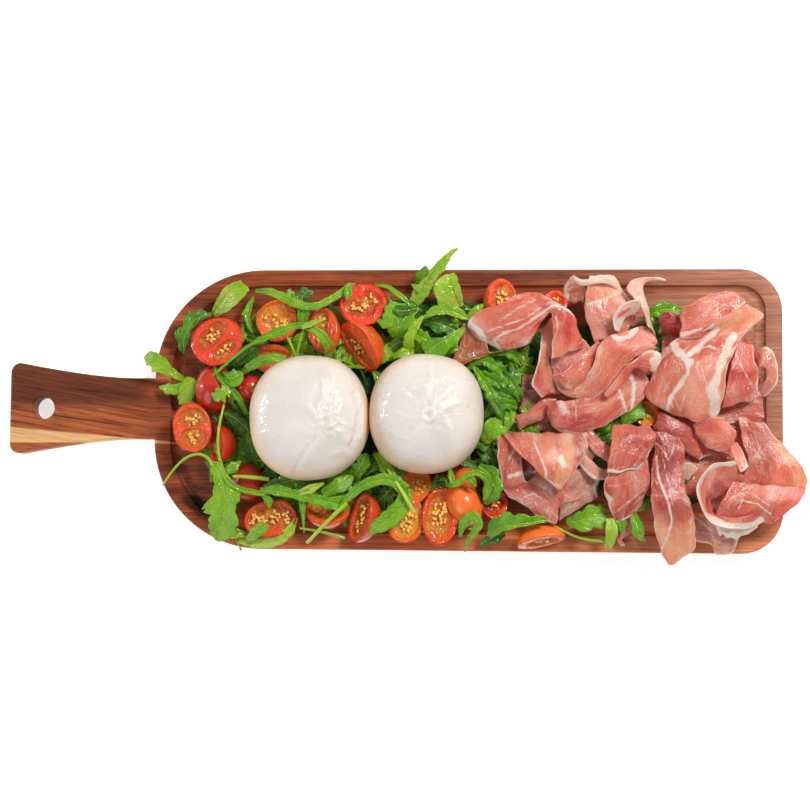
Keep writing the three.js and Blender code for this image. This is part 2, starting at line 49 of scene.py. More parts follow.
studio = {
    "cameraAt": (0.0932, -0.06643, 1.06011),
    "cameraTurn": (0.066466, 0.079293, 0.008843),
    "lens": 75.556,
    "sensor": 36,
    "keyAt": (0.5, 0.42, 0.78),  # right and behind, where the window is
    "keySize": (0.26, 0.26),
    "keyPower": 9.4,
    "keyColour": (1, 0.98, 0.95),
    "fillAt": (-0.85, 0.12, 0.27),
    "fillSize": (0.07, 0.3),
    "fillPower": 2.0,
    "frontAt": (-0.75, -0.8, 0.95),  # low enough not to mirror in level faces
    "frontSize": (1.0, 1.0),
    "frontPower": 6.2,
    "sky": 0.24,
    "floorColour": (0.85, 0.85, 0.85, 1),
    "floorGlow": 0.66,
}


def deselectAll():
    if bpy.context.object and bpy.context.object.mode != "OBJECT":
        bpy.ops.object.mode_set(mode="OBJECT")
    bpy.ops.object.select_all(action="DESELECT")


def pick(piece):
    deselectAll()
    piece.select_set(True)
    bpy.context.view_layer.objects.active = piece


def modify(piece, kind, **settings):
    pick(piece)
    modifier = piece.modifiers.new(kind.title(), kind)
    for name, value in settings.items():
        setattr(modifier, name, value)
    bpy.ops.object.modifier_apply(modifier=modifier.name)


def newest(name):
    piece = bpy.context.object
    piece.name = name
    piece.data.name = name
    return piece


def newBall(name, segments, rings):
    deselectAll()
    bpy.ops.mesh.primitive_uv_sphere_add(segments=segments, ring_count=rings, radius=1)
    return newest(name)


def places(piece):
    flat = np.empty(len(piece.data.vertices) * 3)
    piece.data.vertices.foreach_get("co", flat)
    return flat.reshape(-1, 3)


def place(piece, points):
    piece.data.vertices.foreach_set("co", np.ascontiguousarray(points, dtype=np.float32).ravel())
    piece.data.update()


def keep(piece, name, values):
    # a number for each point, which the materials read
    layer = piece.data.attributes.new(name, "FLOAT", "POINT")
    layer.data.foreach_set("value", np.ascontiguousarray(values, dtype=np.float32).ravel())


def join(pieces, name):
    pick(pieces[0])
    for piece in pieces:
        piece.select_set(True)
    bpy.ops.object.join()
    return newest(name)


def smooth(piece, degrees=None):
    pick(piece)
    if degrees:
        bpy.ops.object.shade_smooth_by_angle(angle=math.radians(degrees))
    else:
        bpy.ops.object.shade_smooth()


def cover(piece, *materials):
    piece.data.materials.clear()
    for material in materials:
        piece.data.materials.append(material)


def serve(piece, slot, *nodes):
    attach(piece, "root")
    if nodes:
        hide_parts(*nodes)


# Material helpers. They work on the material that was started last. A number or colour becomes a
# default, and a socket becomes a link.
inHand = {}


def startMaterial(name, **sockets):
    material = bpy.data.materials.new(name)
    material.use_nodes = True
    inHand["tree"] = material.node_tree
    shade(**sockets)
    return material


def feed(target, inputs):
    for socket, value in inputs.items():
        entry = target.inputs[socket if isinstance(socket, int) else socket.replace("_", " ")]
        if isinstance(value, bpy.types.NodeSocket):
            inHand["tree"].links.new(value, entry)
        else:
            entry.default_value = value


def shade(**sockets):
    feed(inHand["tree"].nodes["Principled BSDF"], sockets)


def node(kind, inputs=None, **settings):
    made = inHand["tree"].nodes.new("ShaderNode" + kind)
    for name, value in settings.items():
        setattr(made, name, value)
    feed(made, inputs or {})
    return made


def mapped(at, scale=(1, 1, 1), shift=(0, 0, 0)):
    return node("Mapping", {"Vector": at, "Scale": scale, "Location": shift}).outputs[0]


def coords():
    return node("TexCoord").outputs["Object"]


def grain(at, scale, detail=3, roughness=0.5, distortion=0):
    return node("TexNoise", {"Vector": at, "Scale": scale, "Detail": detail, "Roughness": roughness,
                             "Distortion": distortion}).outputs["Fac"]


def speckle(size, detail=3, roughness=0.5, distortion=0):
    return grain(mapped(coords(), (size, size, size)), 1, detail, roughness, distortion)


def ramp(value, stops):
    made = node("ValToRGB", {"Fac": value})
    slots = made.color_ramp.elements
    while len(slots) < len(stops):
        slots.new(0.5)
    for slot, (at, colour) in zip(slots, stops):
        slot.position = at
        slot.color = (*colour, 1)
    return made.outputs["Color"]


def mask(value, low, high):
    inputs = {"Value": value, "From Min": low, "From Max": high}
    return node("MapRange", inputs, interpolation_type="SMOOTHSTEP").outputs["Result"]


def sums(operation, a, b=0.0):
    return node("Math", {0: a, 1: b}, operation=operation).outputs[0]


def times(a, b):
    return sums("MULTIPLY", a, b)


def plus(a, b):
    return sums("ADD", a, b)


def minus(a, b):
    return sums("SUBTRACT", a, b)


def mixed(share, a, b, how="MIX"):
    made = node("Mix", data_type="RGBA", blend_type=how)
    a, b = ((*colour, 1) if isinstance(colour, tuple) else colour for colour in (a, b))
    feed(made, {0: share, 6: a, 7: b})
    return made.outputs[2]


def axes(at):
    return node("SeparateXYZ", {0: at}).outputs


def carried(name):
    return node("Attribute", attribute_name=name).outputs["Fac"]


def bump(height, distance, strength=1.0):
    inputs = {"Height": height, "Distance": distance, "Strength": strength}
    return node("Bump", inputs).outputs["Normal"]


# Studio
def setCamera():
    bpy.ops.object.camera_add(location=studio["cameraAt"], rotation=studio["cameraTurn"])
    camera = newest("camera")
    camera.data.lens = studio["lens"]
    camera.data.sensor_width = studio["sensor"]
    camera.data.clip_end = 10
    bpy.context.scene.camera = camera


def setLight(kind, colour=(1, 1, 1)):
    at = studio[kind + "At"]
    bpy.ops.object.light_add(type="AREA", location=at)
    light = newest(kind + "Light")
    light.data.shape = "RECTANGLE"
    light.data.size, light.data.size_y = studio[kind + "Size"]
    light.data.energy = studio[kind + "Power"]
    light.data.color = colour
    light.rotation_euler = (-Vector(at)).to_track_quat("-Z", "Y").to_euler()


def setFloor():
    bpy.ops.mesh.primitive_grid_add(x_subdivisions=4, y_subdivisions=4, size=6, location=(0, 0, -0.5 * mm))
    floor = newest("floor")
    cover(floor, startMaterial("paleFloor", Base_Color=studio["floorColour"], Roughness=0.9,
                               Emission_Color=(1, 1, 1, 1), Emission_Strength=studio["floorGlow"]))


def setSky():
    world = bpy.data.worlds.new("softRoom")
    bpy.context.scene.world = world
    world.use_nodes = True
    background = world.node_tree.nodes["Background"]
    background.inputs["Color"].default_value = (1, 1, 1, 1)
    background.inputs["Strength"].default_value = studio["sky"]


deselectAll()
bpy.context.scene.view_settings.view_transform = "Standard"
setCamera()
setLight("key", studio["keyColour"])
setLight("fill")
setLight("front")
setFloor()
setSky()
print("studio set")

# Board
boardLow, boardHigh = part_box("board")
plank = {
    "thickness": boardHigh.z,
    "bodyStart": -147.5 * mm,
    "neckEnd": -160 * mm,
    "flare": -185 * mm,
    "neck": 19 * mm,  # half widths
    "grip": 28.5 * mm,
    "gripCorner": 6 * mm,
    "nearCorner": 68 * mm,
    "farCorner": 26 * mm,
    "edgeRound": 1.5 * mm,
    "grooveRound": 0.35 * mm,
    "holeAt": -218.7 * mm,
    "holeRadius": 7 * mm,
    "grooveInset": 14 * mm,
    "grooveRadius": 3.9 * mm,
    "grooveDepth": 3.1 * mm,
}


def roundEdges(piece, wanted, offset, segments):
    # in edit mode: bevels only the edges for which wanted(edge) is true
    bpy.ops.mesh.select_mode(type="EDGE")
    bpy.ops.mesh.select_all(action="DESELECT")
    mesh = bmesh.from_edit_mesh(piece.data)
    mesh.edges.ensure_lookup_table()
    for edge in mesh.edges:
        if wanted(edge):
            edge.select_set(True)
    bmesh.update_edit_mesh(piece.data)
    bpy.ops.mesh.bevel(offset=offset, segments=segments, affect="EDGES")


def chooseFace(piece, score):
    # in edit mode: selects the face with the highest score
    bpy.ops.mesh.select_mode(type="FACE")
    bpy.ops.mesh.select_all(action="DESELECT")
    mesh = bmesh.from_edit_mesh(piece.data)
    mesh.faces.ensure_lookup_table()
    best = max(mesh.faces, key=score)
    best.select_set(True)
    bmesh.update_edit_mesh(piece.data)


def isUpright(edge):
    a, b = (v.co for v in edge.verts)
    return abs(a.z - b.z) > 0.9 * plank["thickness"] and (a - b).xy.length < 1e-6


def boundsFlat(edge, steep):
    # an edge between a level face and one that slopes more than steep
    tilts = sorted(abs(face.normal.z) for face in edge.link_faces)
    return len(tilts) == 2 and tilts[1] > 0.999 and tilts[0] < steep


def extrudeHandle():
    steps = 9
    start, end, corner = plank["neckEnd"], boardLow.x, plank["gripCorner"]
    reached, half = plank["bodyStart"], plank["neck"]
    stops = [(start, plank["neck"])]
    for i in range(1, steps + 1):
        t = i / steps
        x = (1 - t) ** 2 * start + 2 * t * (1 - t) * plank["flare"] + t * t * (end + corner)
        stops.append((x, (1 - t * t) * plank["neck"] + t * t * plank["grip"]))
    stops.append((end, plank["grip"]))
    for x, width in stops:
        bpy.ops.mesh.extrude_region_move(TRANSFORM_OT_translate={"value": (x - reached, 0, 0)})
        bpy.ops.transform.resize(value=(1, width / half, 1), center_override=(x, 0, 0))
        reached, half = x, width


def cutGroove(piece):
    # rings of insets that follow the groove's round section
    radius, depth = plank["grooveRadius"], plank["grooveDepth"]
    rise = radius - depth
    reach = math.sqrt(radius ** 2 - rise ** 2)
    steps = 12
    tilt = math.asin(reach / radius)
    angles = [-tilt + 2 * tilt * i / steps for i in range(steps + 1)]
    profile = [(radius * math.sin(angle), rise - radius * math.cos(angle)) for angle in angles]
    chooseFace(piece, lambda face: face.normal.z * face.calc_area())
    bpy.ops.mesh.inset(thickness=plank["grooveInset"] - reach, depth=0)
    for (outNow, downNow), (outNext, downNext) in zip(profile, profile[1:]):
        bpy.ops.mesh.inset(thickness=outNext - outNow, depth=downNext - downNow)


def makeBoard():
    start, end = plank["bodyStart"], boardHigh.x
    thickness, width = plank["thickness"], boardHigh.y - boardLow.y
    deselectAll()
    bpy.ops.mesh.primitive_cube_add(size=1, location=((start + end) / 2, 0, thickness / 2),
                                    scale=(end - start, width, thickness))
    board = newest("paddleBoard")
    bpy.ops.object.transform_apply(location=True, rotation=True, scale=True)
    bpy.ops.object.mode_set(mode="EDIT")
    roundEdges(board, lambda edge: isUpright(edge) and edge.verts[0].co.x < 0, plank["nearCorner"], 28)
    roundEdges(board, lambda edge: isUpright(edge) and edge.verts[0].co.x > end - 1e-4,
               plank["farCorner"], 16)
    cutGroove(board)
    chooseFace(board, lambda face: -face.normal.x * face.calc_area())
    extrudeHandle()
    roundEdges(board, lambda edge: isUpright(edge) and edge.verts[0].co.x < boardLow.x + 1e-5,
               plank["gripCorner"], 8)
    bpy.ops.object.mode_set(mode="OBJECT")
    bpy.ops.mesh.primitive_cylinder_add(vertices=64, radius=plank["holeRadius"], depth=4 * thickness,
                                        location=(plank["holeAt"], 0, thickness / 2))
    drill = newest("drill")
    modify(board, "BOOLEAN", operation="DIFFERENCE", object=drill, solver="EXACT")
    bpy.data.objects.remove(drill)
    pick(board)
    bpy.ops.object.mode_set(mode="EDIT")
    roundEdges(board, lambda edge: boundsFlat(edge, 0.3), plank["edgeRound"], 4)
    roundEdges(board, lambda edge: boundsFlat(edge, 0.9) and edge.verts[0].co.z > thickness - 1e-5,
               plank["grooveRound"], 2)
    bpy.ops.object.mode_set(mode="OBJECT")
    smooth(board, 35)
    cover(board, oiledWood())
    serve(board, "board", "board")


def oiledWood():
    material = startMaterial("oiledWood", Roughness=0.5, Specular_IOR_Level=0.2)
    x, y, z = axes(coords())
    # the grain runs along the board and slants in the handle
    grip = mask(x, -0.145, -0.162)
    slant = times(sums("MAXIMUM", minus(-0.15, x), 0.0), -0.17)
    laid = node("CombineXYZ", {0: x, 1: plus(y, slant), 2: z}).outputs[0]

    def grained(scale, detail, roughness=0.5, distortion=0.0):
        return grain(mapped(laid, scale), 1, detail, roughness, distortion)

    def onFibres(share, colour):
        return mixed(share, colour, fine, "MULTIPLY")

    bands = grained((4, 46, 34), 3, 0.5, 0.8)
    tone = ramp(bands, [(0.30, (0.15, 0.034, 0.012)), (0.44, (0.27, 0.064, 0.022)),
                        (0.56, (0.37, 0.088, 0.030)), (0.72, (0.45, 0.125, 0.046))])
    fibres = grained((20, 620, 450), 5, 0.68)
    fine = ramp(fibres, [(0.32, (0.46, 0.38, 0.34)), (0.5, (0.92, 0.9, 0.88)), (0.66, (1.25, 1.25, 1.25))])
    # the handle is dark at its upper edge and orange below
    lean = plus(y, times(bands, 0.016))
    gripTone = mixed(mask(lean, 0.0125, 0.0035), (0.135, 0.036, 0.014), (0.44, 0.118, 0.036))
    wood = onFibres(1.0, mixed(times(grip, 0.85), tone, gripTone))
    streaks = mask(grained((11, 230, 140), 3, 0.6, 0.9), 0.57, 0.68)
    wood = mixed(times(streaks, plus(0.5, times(grip, 0.5))), wood, (0.050, 0.014, 0.006))
    pores = mask(grained((60, 2000, 1400), 1), 0.62, 0.72)
    wood = mixed(times(pores, 0.6), wood, (0.045, 0.013, 0.006))
    # the far end is paler
    paleness = mask(x, 0.05, 0.26)
    wood = mixed(times(paleness, 0.72), wood, onFibres(0.8, (0.47, 0.225, 0.150)))
    # the near edge is warmer, and golden towards the far corner
    near = mask(minus(y, times(paleness, 0.05)), -0.066, -0.084)
    gold = onFibres(0.8, mixed(paleness, (0.74, 0.22, 0.085), (0.95, 0.34, 0.155)))
    wood = mixed(times(near, 0.7), wood, gold)
    # sapwood along the handle's lower edge, a straight strip that tapers off past the neck
    wander = times(grain(mapped(coords(), (14, 30, 30)), 1, 2), 0.003)
    below = mask(plus(plus(y, times(x, 0.083)), wander), -0.0297, -0.0312)
    above = mask(plus(y, wander), -0.0208, -0.0198)
    sap = times(times(below, above), mask(x, -0.130, -0.136))
    wood = mixed(sap, wood, onFibres(0.4, (0.80, 0.46, 0.20)))
    # painted shade: a dark patch on the groove at the near left end, where the leaves and the light direction
    # put it in shade
    spot = node("Mapping", {"Vector": laid, "Location": (-0.118, -0.061, 0), "Rotation": (0, 0, -0.63),
                            "Scale": (0.019, 0.007, 1)}, vector_type="TEXTURE").outputs[0]
    reach = node("VectorMath", {0: spot}, operation="LENGTH").outputs["Value"]
    grooveShade = mask(plus(reach, grain(laid, 180, 2)), 1.45, 0.85)
    wood = mixed(times(grooveShade, 0.9), wood, (0.024, 0.006, 0.003))
    relief = minus(fibres, times(pores, 1.5))
    shade(Base_Color=wood, Normal=bump(relief, 0.00025, 0.7))
    return material


makeBoard()
print("board made")

# Burratas. Strokes are folds of the skin: points in mm from the middle, half width, height above the skin.
cheeses = {
    "burrataLeft": {
        "node": "burrata_left",
        "at": (-47, -7),
        "size": (73, 76, 48),
        "knot": (13, -3),
        "knotRise": 0.6,
        "touch": 1,
        "strokes": [
            ([(9, -12), (2, -19), (-5, -30), (-8, -36)], 1.0, -0.7),
            ([(11, -13), (4, -21), (-3, -31)], 2.6, 0.7),
            ([(16, -6), (21, -2.5), (27, -6)], 1.6, 1.5),
            ([(17, -10), (22, -8), (25, -13)], 3.4, 1.6),
            ([(29, 14), (32, 4), (31, -8), (27, -18)], 1.5, -0.9),
            ([(32, 14), (34.5, 2), (33, -12)], 1.6, 1.0),
            ([(11, 21), (12, 12), (9, 6)], 1.3, 0.8),
            ([(3, 6), (6, 2), (8, -2)], 1.2, 1.1),
            ([(20, 14), (23, 6), (20, 2)], 2.6, 0.9),
            ([(18, -22), (24, -20), (28, -25)], 1.8, 0.8),
            ([(-20, 12), (-5, 8), (6, 4)], 5.0, 0.7),
            ([(-22, -12), (-6, -8), (5, -6)], 5.0, 0.6),
        ],
    },
    "burrataRight": {
        "node": "burrata_right",
        "at": (24.5, -4),
        "size": (69.4, 73, 46),
        "knot": (3, -2),
        "knotRise": 1.2,
        "touch": -1,
        "strokes": [
            ([(-11, 14), (-7, 10), (-3, 9)], 1.2, -0.8),
            ([(-10, 10), (-6, 14), (1, 15)], 1.3, 0.9),
            ([(6, 5), (11, 9), (16, 14)], 2.4, 1.2),
            ([(9, 0), (14, 3), (20, 5)], 1.8, 0.9),
            ([(12, 19), (20, 18), (29, 21)], 1.2, -0.6),
            ([(3, 30), (4, 20), (2, 12)], 1.6, 0.7),
            ([(-14, -2), (-9, -4), (-4, -3)], 1.4, 0.7),
            ([(12, -7), (16, -10), (15, -14)], 1.6, 0.8),
            ([(-18, -14), (-10, -16), (-4, -12)], 1.8, 0.5),
            ([(5, -12), (9, -22), (12, -30)], 3.2, -0.6),
            ([(-3, -12), (-8, -22), (-13, -30)], 4.0, 0.5),
        ],
    },
}
ball = {
    "cuts": 89,
    "base": 17 * mm,
    "squareness": 2.2,
    "belly": 0.43,
    "lowerFullness": 0.72,
    "upperFullness": 0.8,
    "knotRing": 3.4 * mm,
    "knotPit": 1.6 * mm,
    "strokeShare": 0.85,
    "pleats": 7,
    "pleatHeight": 0.22 * mm,
    "pleatReach": 11 * mm,
    "crumple": 0.75 * mm,  # fine folds round the knot
    "crumpleSize": 8 * mm,
    "crumpleReach": 10 * mm,
    "swell": 0.8 * mm,  # slow unevenness all over
    "swellSize": 46 * mm,
    "shoulder": 0.68,  # share of the half width where the painted warm shade and the wet ring begin
    "glazeWidth": 0.09,
}


def nearStroke(points, stroke):
    # distance in plan from each point to a broken line
    line = np.array(stroke) * mm
    best = np.full(len(points), 1e9)
    for a, b in zip(line[:-1], line[1:]):
        share = np.clip(((points - a) @ (b - a)) / ((b - a) @ (b - a)), 0, 1)
        best = np.minimum(best, np.linalg.norm(points - a - share[:, None] * (b - a), axis=1))
    return best


def eased(share):
    share = np.clip(share, 0, 1)
    return share * share * (3 - 2 * share)


def hump(distance, reach):
    return np.exp(-(distance / reach) ** 2)


def waves(points, size, seed, octaves=3):
    # soft uneven values from -1 to 1 over points, without a pattern that shows
    rng = np.random.default_rng(seed)
    total = np.zeros(len(points))
    weight = 0
    for octave in range(octaves):
        for wave in range(6):
            direction = rng.normal(size=3)
            direction /= np.linalg.norm(direction)
            angle = points @ direction * (2 * math.pi / size * 2 ** octave) + rng.uniform(0, 7)
            total += np.sin(angle) / 2 ** octave
            weight += 0.5 / 2 ** octave
    return total / weight / 1.4


def sphereAngles(unit):
    return np.arcsin(np.clip(unit[:, 2], -1, 1)), np.arctan2(unit[:, 1], unit[:, 0])


def burrataShape(unit, cheese, seed):
    # the points, how much painted warm shade each gets (strongest low down and on the left, away from the key
    # light, and where the balls touch), and how wet it is
    width, depth, height = (value * mm for value in cheese["size"])
    squareness = ball["squareness"]
    lift, around = sphereAngles(unit)
    lower = lift < 0
    reach = np.cos(lift) ** np.where(lower, ball["lowerFullness"], ball["upperFullness"])
    corner = (np.abs(np.cos(around)) ** squareness + np.abs(np.sin(around)) ** squareness) ** (1 / squareness)
    x = width / 2 * reach * np.cos(around) / corner
    y = depth / 2 * reach * np.sin(around) / corner
    belly = ball["belly"] * height
    z = ball["base"] + belly + np.where(lower, belly, height - belly) * np.sin(lift)
    plan = np.stack([x, y], axis=1)
    toKnot = plan - np.array(cheese["knot"]) * mm
    away = np.linalg.norm(toKnot, axis=1)
    turn = np.arctan2(toKnot[:, 1], toKnot[:, 0])
    top = np.clip(np.sin(lift) * 2.2, 0, 1)
    points = np.stack([x, y, z], axis=1)
    raised = ball["swell"] * waves(points, ball["swellSize"], seed, 2)
    twist = turn + away / (9 * mm)
    pleats = np.cos(ball["pleats"] * twist + 1.5 * np.sin(2 * turn)) * np.clip(away / (3 * mm), 0, 1)
    raised += ball["pleatHeight"] * hump(away, ball["pleatReach"]) * top * pleats
    ring = hump(away - ball["knotRing"], 1.0 * mm)
    raised += top * cheese["knotRise"] * mm * (ring - 1.2 * hump(away, ball["knotPit"]))
    folds = 1 - 2.4 * np.abs(waves(points, ball["crumpleSize"], seed + 5, 3))
    raised += ball["crumple"] * top * folds * hump(away, ball["crumpleReach"])
    for stroke, breadth, rise in cheese["strokes"]:
        raised += ball["strokeShare"] * top * rise * mm * hump(nearStroke(plan, stroke), breadth * mm)
    outward = points - np.array([0, 0, ball["base"] + belly])
    outward /= np.linalg.norm(outward, axis=1)[:, None]
    points += outward * (raised * np.clip(np.sin(lift) + 1.2, 0, 1))[:, None]
    points[:, :2] += np.array(cheese["at"]) * mm
    # painted warm shade: more on the left and front sides, away from the key light, and a tan line where the
    # two balls touch, standing for light bounced between them
    side = 0.55 - 0.4 * np.cos(around) - 0.2 * np.sin(around)
    side += eased((cheese["touch"] * np.cos(around) - 0.85) / 0.15) * eased((reach - 0.93) / 0.07)
    warmShade = np.where(lower, 1, eased((reach - ball["shoulder"]) / 0.32)) * np.clip(side, 0, 1)
    glaze = eased((-np.cos(around) - 0.8) / 0.2) * hump(reach - ball["shoulder"], ball["glazeWidth"]) * ~lower
    return points, warmShade, glaze


def makeBurrata(name, cheese, seed, skin):
    deselectAll()
    bpy.ops.mesh.primitive_cube_add(size=2)
    burrata = newest(name)
    bpy.ops.object.mode_set(mode="EDIT")
    bpy.ops.mesh.subdivide(number_cuts=ball["cuts"])
    bpy.ops.mesh.select_all(action="SELECT")
    bpy.ops.transform.tosphere(value=1)
    bpy.ops.object.mode_set(mode="OBJECT")
    unit = places(burrata)
    unit /= np.linalg.norm(unit, axis=1)[:, None]
    points, warmShade, glaze = burrataShape(unit, cheese, seed)
    place(burrata, points)
    keep(burrata, "warmShade", warmShade)
    keep(burrata, "glaze", glaze)
    smooth(burrata)
    cover(burrata, skin)
    serve(burrata, "burrata", cheese["node"])


def milkySkin():
    material = startMaterial("milkySkin", Roughness=0.32, Subsurface_Weight=0.85, Subsurface_Scale=0.006,
                             Subsurface_Radius=(1.0, 0.8, 0.6), Specular_IOR_Level=0.5)
    tone = ramp(speckle(38, 3, 0.5), [(0.3, (0.72, 0.665, 0.61)), (0.7, (0.79, 0.745, 0.70))])
    # painted warm shade and bounce light on the shaded sides and where the balls touch
    tone = mixed(times(carried("warmShade"), 0.9), tone, (0.88, 0.62, 0.40))
    # a small tan mark
    spot = axes(mapped(coords(), shift=(-0.050, 0.0008, 0)))
    far = plus(times(spot[0], spot[0]), times(spot[1], spot[1]))
    tone = mixed(times(mask(far, 0.0000014, 0.0), 0.5), tone, (0.62, 0.34, 0.18))
    specks = mask(speckle(420, 1), 0.77, 0.80)
    tone = mixed(times(specks, 0.35), tone, (0.62, 0.42, 0.26))
    pits = speckle(700, 2, 0.6)
    ripples = speckle(210, 3, 0.6)
    # the glaze is a wet ring, where the coat is stronger and smoother
    glaze = carried("glaze")
    depth = minus(0.0013, times(glaze, 0.0004))
    shade(Base_Color=tone, Normal=bump(plus(pits, ripples), 0.0006, 0.8),
          Coat_Weight=plus(times(glaze, 0.87), 0.13), Coat_Roughness=0.06, Coat_IOR=1.85,
          Coat_Normal=bump(speckle(300, 1), depth))
    return material


skin = milkySkin()
for seed, (name, cheese) in enumerate(cheeses.items(), 3):
    makeBurrata(name, cheese, seed, skin)
print("burratas made")

# Tomatoes. Each half: middle of the cut face in mm, the way it faces, long, wide and deep radius, the
# turn of its long side, how red it is from 0 to 1, and its seed pockets: across and up from the middle,
# long and wide radius, turn, number of seeds. A minus depth lays the half with its skin up.
halves = [
    ((-105, 40, 35), (-0.15, 0.05), (16.5, 15, 14.5), 20, 0.85, [(-3.6, 3.8, 8.6, 4.3, 44, 12),
        (4.6, -5.2, 7, 3.1, 38, 8)]),
    ((-68, 53, 33), (0.05, -0.15), (13.5, 12.5, 12), 60, 0.3, [(-3, 3.2, 6.6, 5.2, 20, 3),
        (3, -2.5, 7, 4, 15, 14)]),
    ((-40, 47, 33), (-0.45, 0), (14.5, 10.5, 11.5), 100, 0.6, [(-1.5, -4, 6, 4.4, 90, 7),
        (-1, 6, 5, 3.6, 90, 3)]),
    ((-15, 63, 33), (0.1, 0.1), (14.5, 13.5, 13.5), 10, 0.95, [(-2, -1.5, 7.4, 4.6, 0, 16),
        (5.5, 4, 4.6, 3.2, -40, 3)]),
    ((-18.5, 37, 30), (-0.58, -0.45), (17.5, 12.5, 17.5), 127, 0.58, [(-1, -0.8, 10.5, 3.7, 127, 16)]),
    ((-72, 30, 30), (-0.1, -0.2), (12.5, 9, 9.5), 0, 0.35, [(0, -1, 8, 4.5, 0, 8)]),
    ((-108, 12, 24), (0, 0), (15, 12, -12), 95, 1.0, []),
    ((-120, -13, 33), (-0.05, -0.05), (15.5, 12, 12), 100, 0.6, [(0.5, 6, 6.6, 4.4, 5, 12),
        (1, -6.3, 6, 4.6, 0, 8)]),
    ((-106, -23, 30), (-0.75, -0.1), (12, 9.5, 14), 95, 0.95, [(0, 0, 8, 5, 95, 6)]),
    ((-86, 12, 24), (0.2, 0.1), (9, 8.5, -8.5), 90, 1.0, []),
    ((-86, -46, 24), (0, 0), (11.5, 10, -10.5), 90, 0.95, []),
    ((-71, -68, 31), (0, 0.15), (16.5, 11.5, 11), 10, 0.7, [(-7.5, -0.5, 5.6, 6, 80, 14),
        (2, 1.5, 4, 6.6, 0, 12), (9.5, 1, 3.6, 6, 0, 8)]),
    ((-36, -62, 30), (0.05, 0.6), (13.5, 12, 12), 0, 0.55, [(0, 0, 8, 5.5, 0, 8)]),
    ((-16, -67, 31), (-0.74, 0.17), (15.5, 11, 13), 77, 0.78, [(0, 0, 11.5, 5.4, 77, 18)]),
    ((12, -68, 33), (0.1, 0.15), (14.5, 11.5, 11.5), 80, 0.15, [(1.5, -1.5, 8.5, 6, 55, 24)]),
    ((17, -48, 29), (0.2, 0.1), (12, 9.5, 9.5), 60, 0.2, [(2.5, 1.5, 5.4, 5, 60, 9)]),
    ((33, -66, 33), (0.1, 0.12), (17.5, 11.5, 11.5), 88, 0.7, [(-0.5, 1, 11.5, 6.2, 80, 26)]),
    ((47, -58, 24), (0, 0), (14.5, 11, -14.5), 60, 0.16, []),
    ((48, -44, 22), (0, 0), (8.5, 8, -8), 0, 0.4, []),
    ((66, -58, 28), (0.2, 0.1), (9.5, 8, 8.5), 70, 1.0, [(-1, 0.5, 6, 4.4, 60, 9)]),
    ((94, -81, 25), (0.2, -0.9), (15, 8.5, 12), 13, 0.18, [(1, 0, 7.5, 3, 13, 5)]),
    ((70, 67, 31), (0.6, 0.25), (13.5, 11, 13), 70, 0.75, [(0.5, -0.5, 8.4, 5.6, 70, 20)]),
    ((102, 65, 28), (0.2, 0.3), (8.5, 7.5, 8.5), 60, 1.0, [(0, 0, 4.5, 3.5, 60, 5)]),
    ((157, -3, 28), (0.1, 0), (8, 7.5, 8), 90, 0.15, [(0, 0, 4.5, 3.5, 90, 5)]),
]
tomato = {
    "segments": 80,
    "rings": 68,
    "pocketScale": 1.5,
    "pocketSquareness": 2.4,
    "pocketDepth": 2.6 * mm,
    "gelUneven": 0.6 * mm,
    "rimRound": 0.5 * mm,
    "rippleSize": 3.2 * mm,
    "fleshUneven": 0.25 * mm,
    "unevenSize": 9 * mm,
    "seedLong": 1.3 * mm,  # half sizes
    "seedWide": 0.9 * mm,
    "seedThick": 0.45 * mm,
}


def turned(x, y, angle):
    return x * math.cos(angle) - y * math.sin(angle), x * math.sin(angle) + y * math.cos(angle)


def pocketShare(flat, pocket, turn):
    # 1 in the middle of a seed pocket, 0 at its edge and beyond, for points of the cut face
    across, up, long, wide, pocketTurn = pocket[:5]
    rel = flat - np.array(turned(across, up, math.radians(-turn))) * mm
    lean = math.radians(pocketTurn - turn)
    scale = tomato["pocketScale"] * mm
    power = tomato["pocketSquareness"]
    a = (rel[:, 0] * math.cos(lean) + rel[:, 1] * math.sin(lean)) / (long * scale)
    b = (-rel[:, 0] * math.sin(lean) + rel[:, 1] * math.cos(lean)) / (wide * scale)
    return np.clip(1 - (np.abs(a) ** power + np.abs(b) ** power) ** (1 / power), 0, 1)


def tomatoPlacing(at, faces, turn, skinUp):
    facing = Vector((faces[0], faces[1], math.sqrt(1 - faces[0] ** 2 - faces[1] ** 2)))
    swing = Vector((0, 0, 1)).rotation_difference(facing).to_matrix()
    flip = Matrix.Rotation(math.pi, 3, "X") if skinUp else Matrix.Identity(3)
    return np.array(swing @ flip @ Matrix.Rotation(math.radians(turn), 3, "Z")), np.array(at) * mm


def tomatoShape(unit, size, turn, pockets, seed):
    # the points, where the gel is, and where the skin is
    long, wide, deep = size
    lift, around = sphereAngles(unit)
    top = lift > 1e-4
    wobble = 1 + 0.012 * np.sin(3 * around + seed) + 0.01 * np.sin(2 * around + 2 * seed)
    reach = np.where(top, 1 - lift / (math.pi / 2), np.cos(lift) ** 0.92) * wobble
    x = long * mm * reach * np.cos(around)
    y = wide * mm * reach * np.sin(around)
    z = np.where(top, 0, abs(deep) * mm * np.sin(lift))
    flat = np.stack([x, y], axis=1)
    gel = np.zeros(len(unit))
    for pocket in pockets:
        gel = np.maximum(gel, eased(pocketShare(flat, pocket, turn) / 0.3))
    gel = gel * np.where(top, eased((0.9 - reach) / 0.08), 0)
    points = np.stack([x, y, z], axis=1)
    ripple = waves(points, tomato["rippleSize"], seed, 2)
    slow = waves(points, tomato["unevenSize"], seed + 9, 2)
    sink = -tomato["pocketDepth"] * gel * (0.72 + 0.28 * slow) + tomato["gelUneven"] * gel * ripple
    flesh = tomato["fleshUneven"] * slow * (1 - gel)
    rim = -tomato["rimRound"] * eased((reach - 0.93) / 0.08)
    points[:, 2] += np.where(top, sink + flesh + rim, 0)
    return points, gel, np.where(top, eased((reach - 0.955) / 0.035), 1)


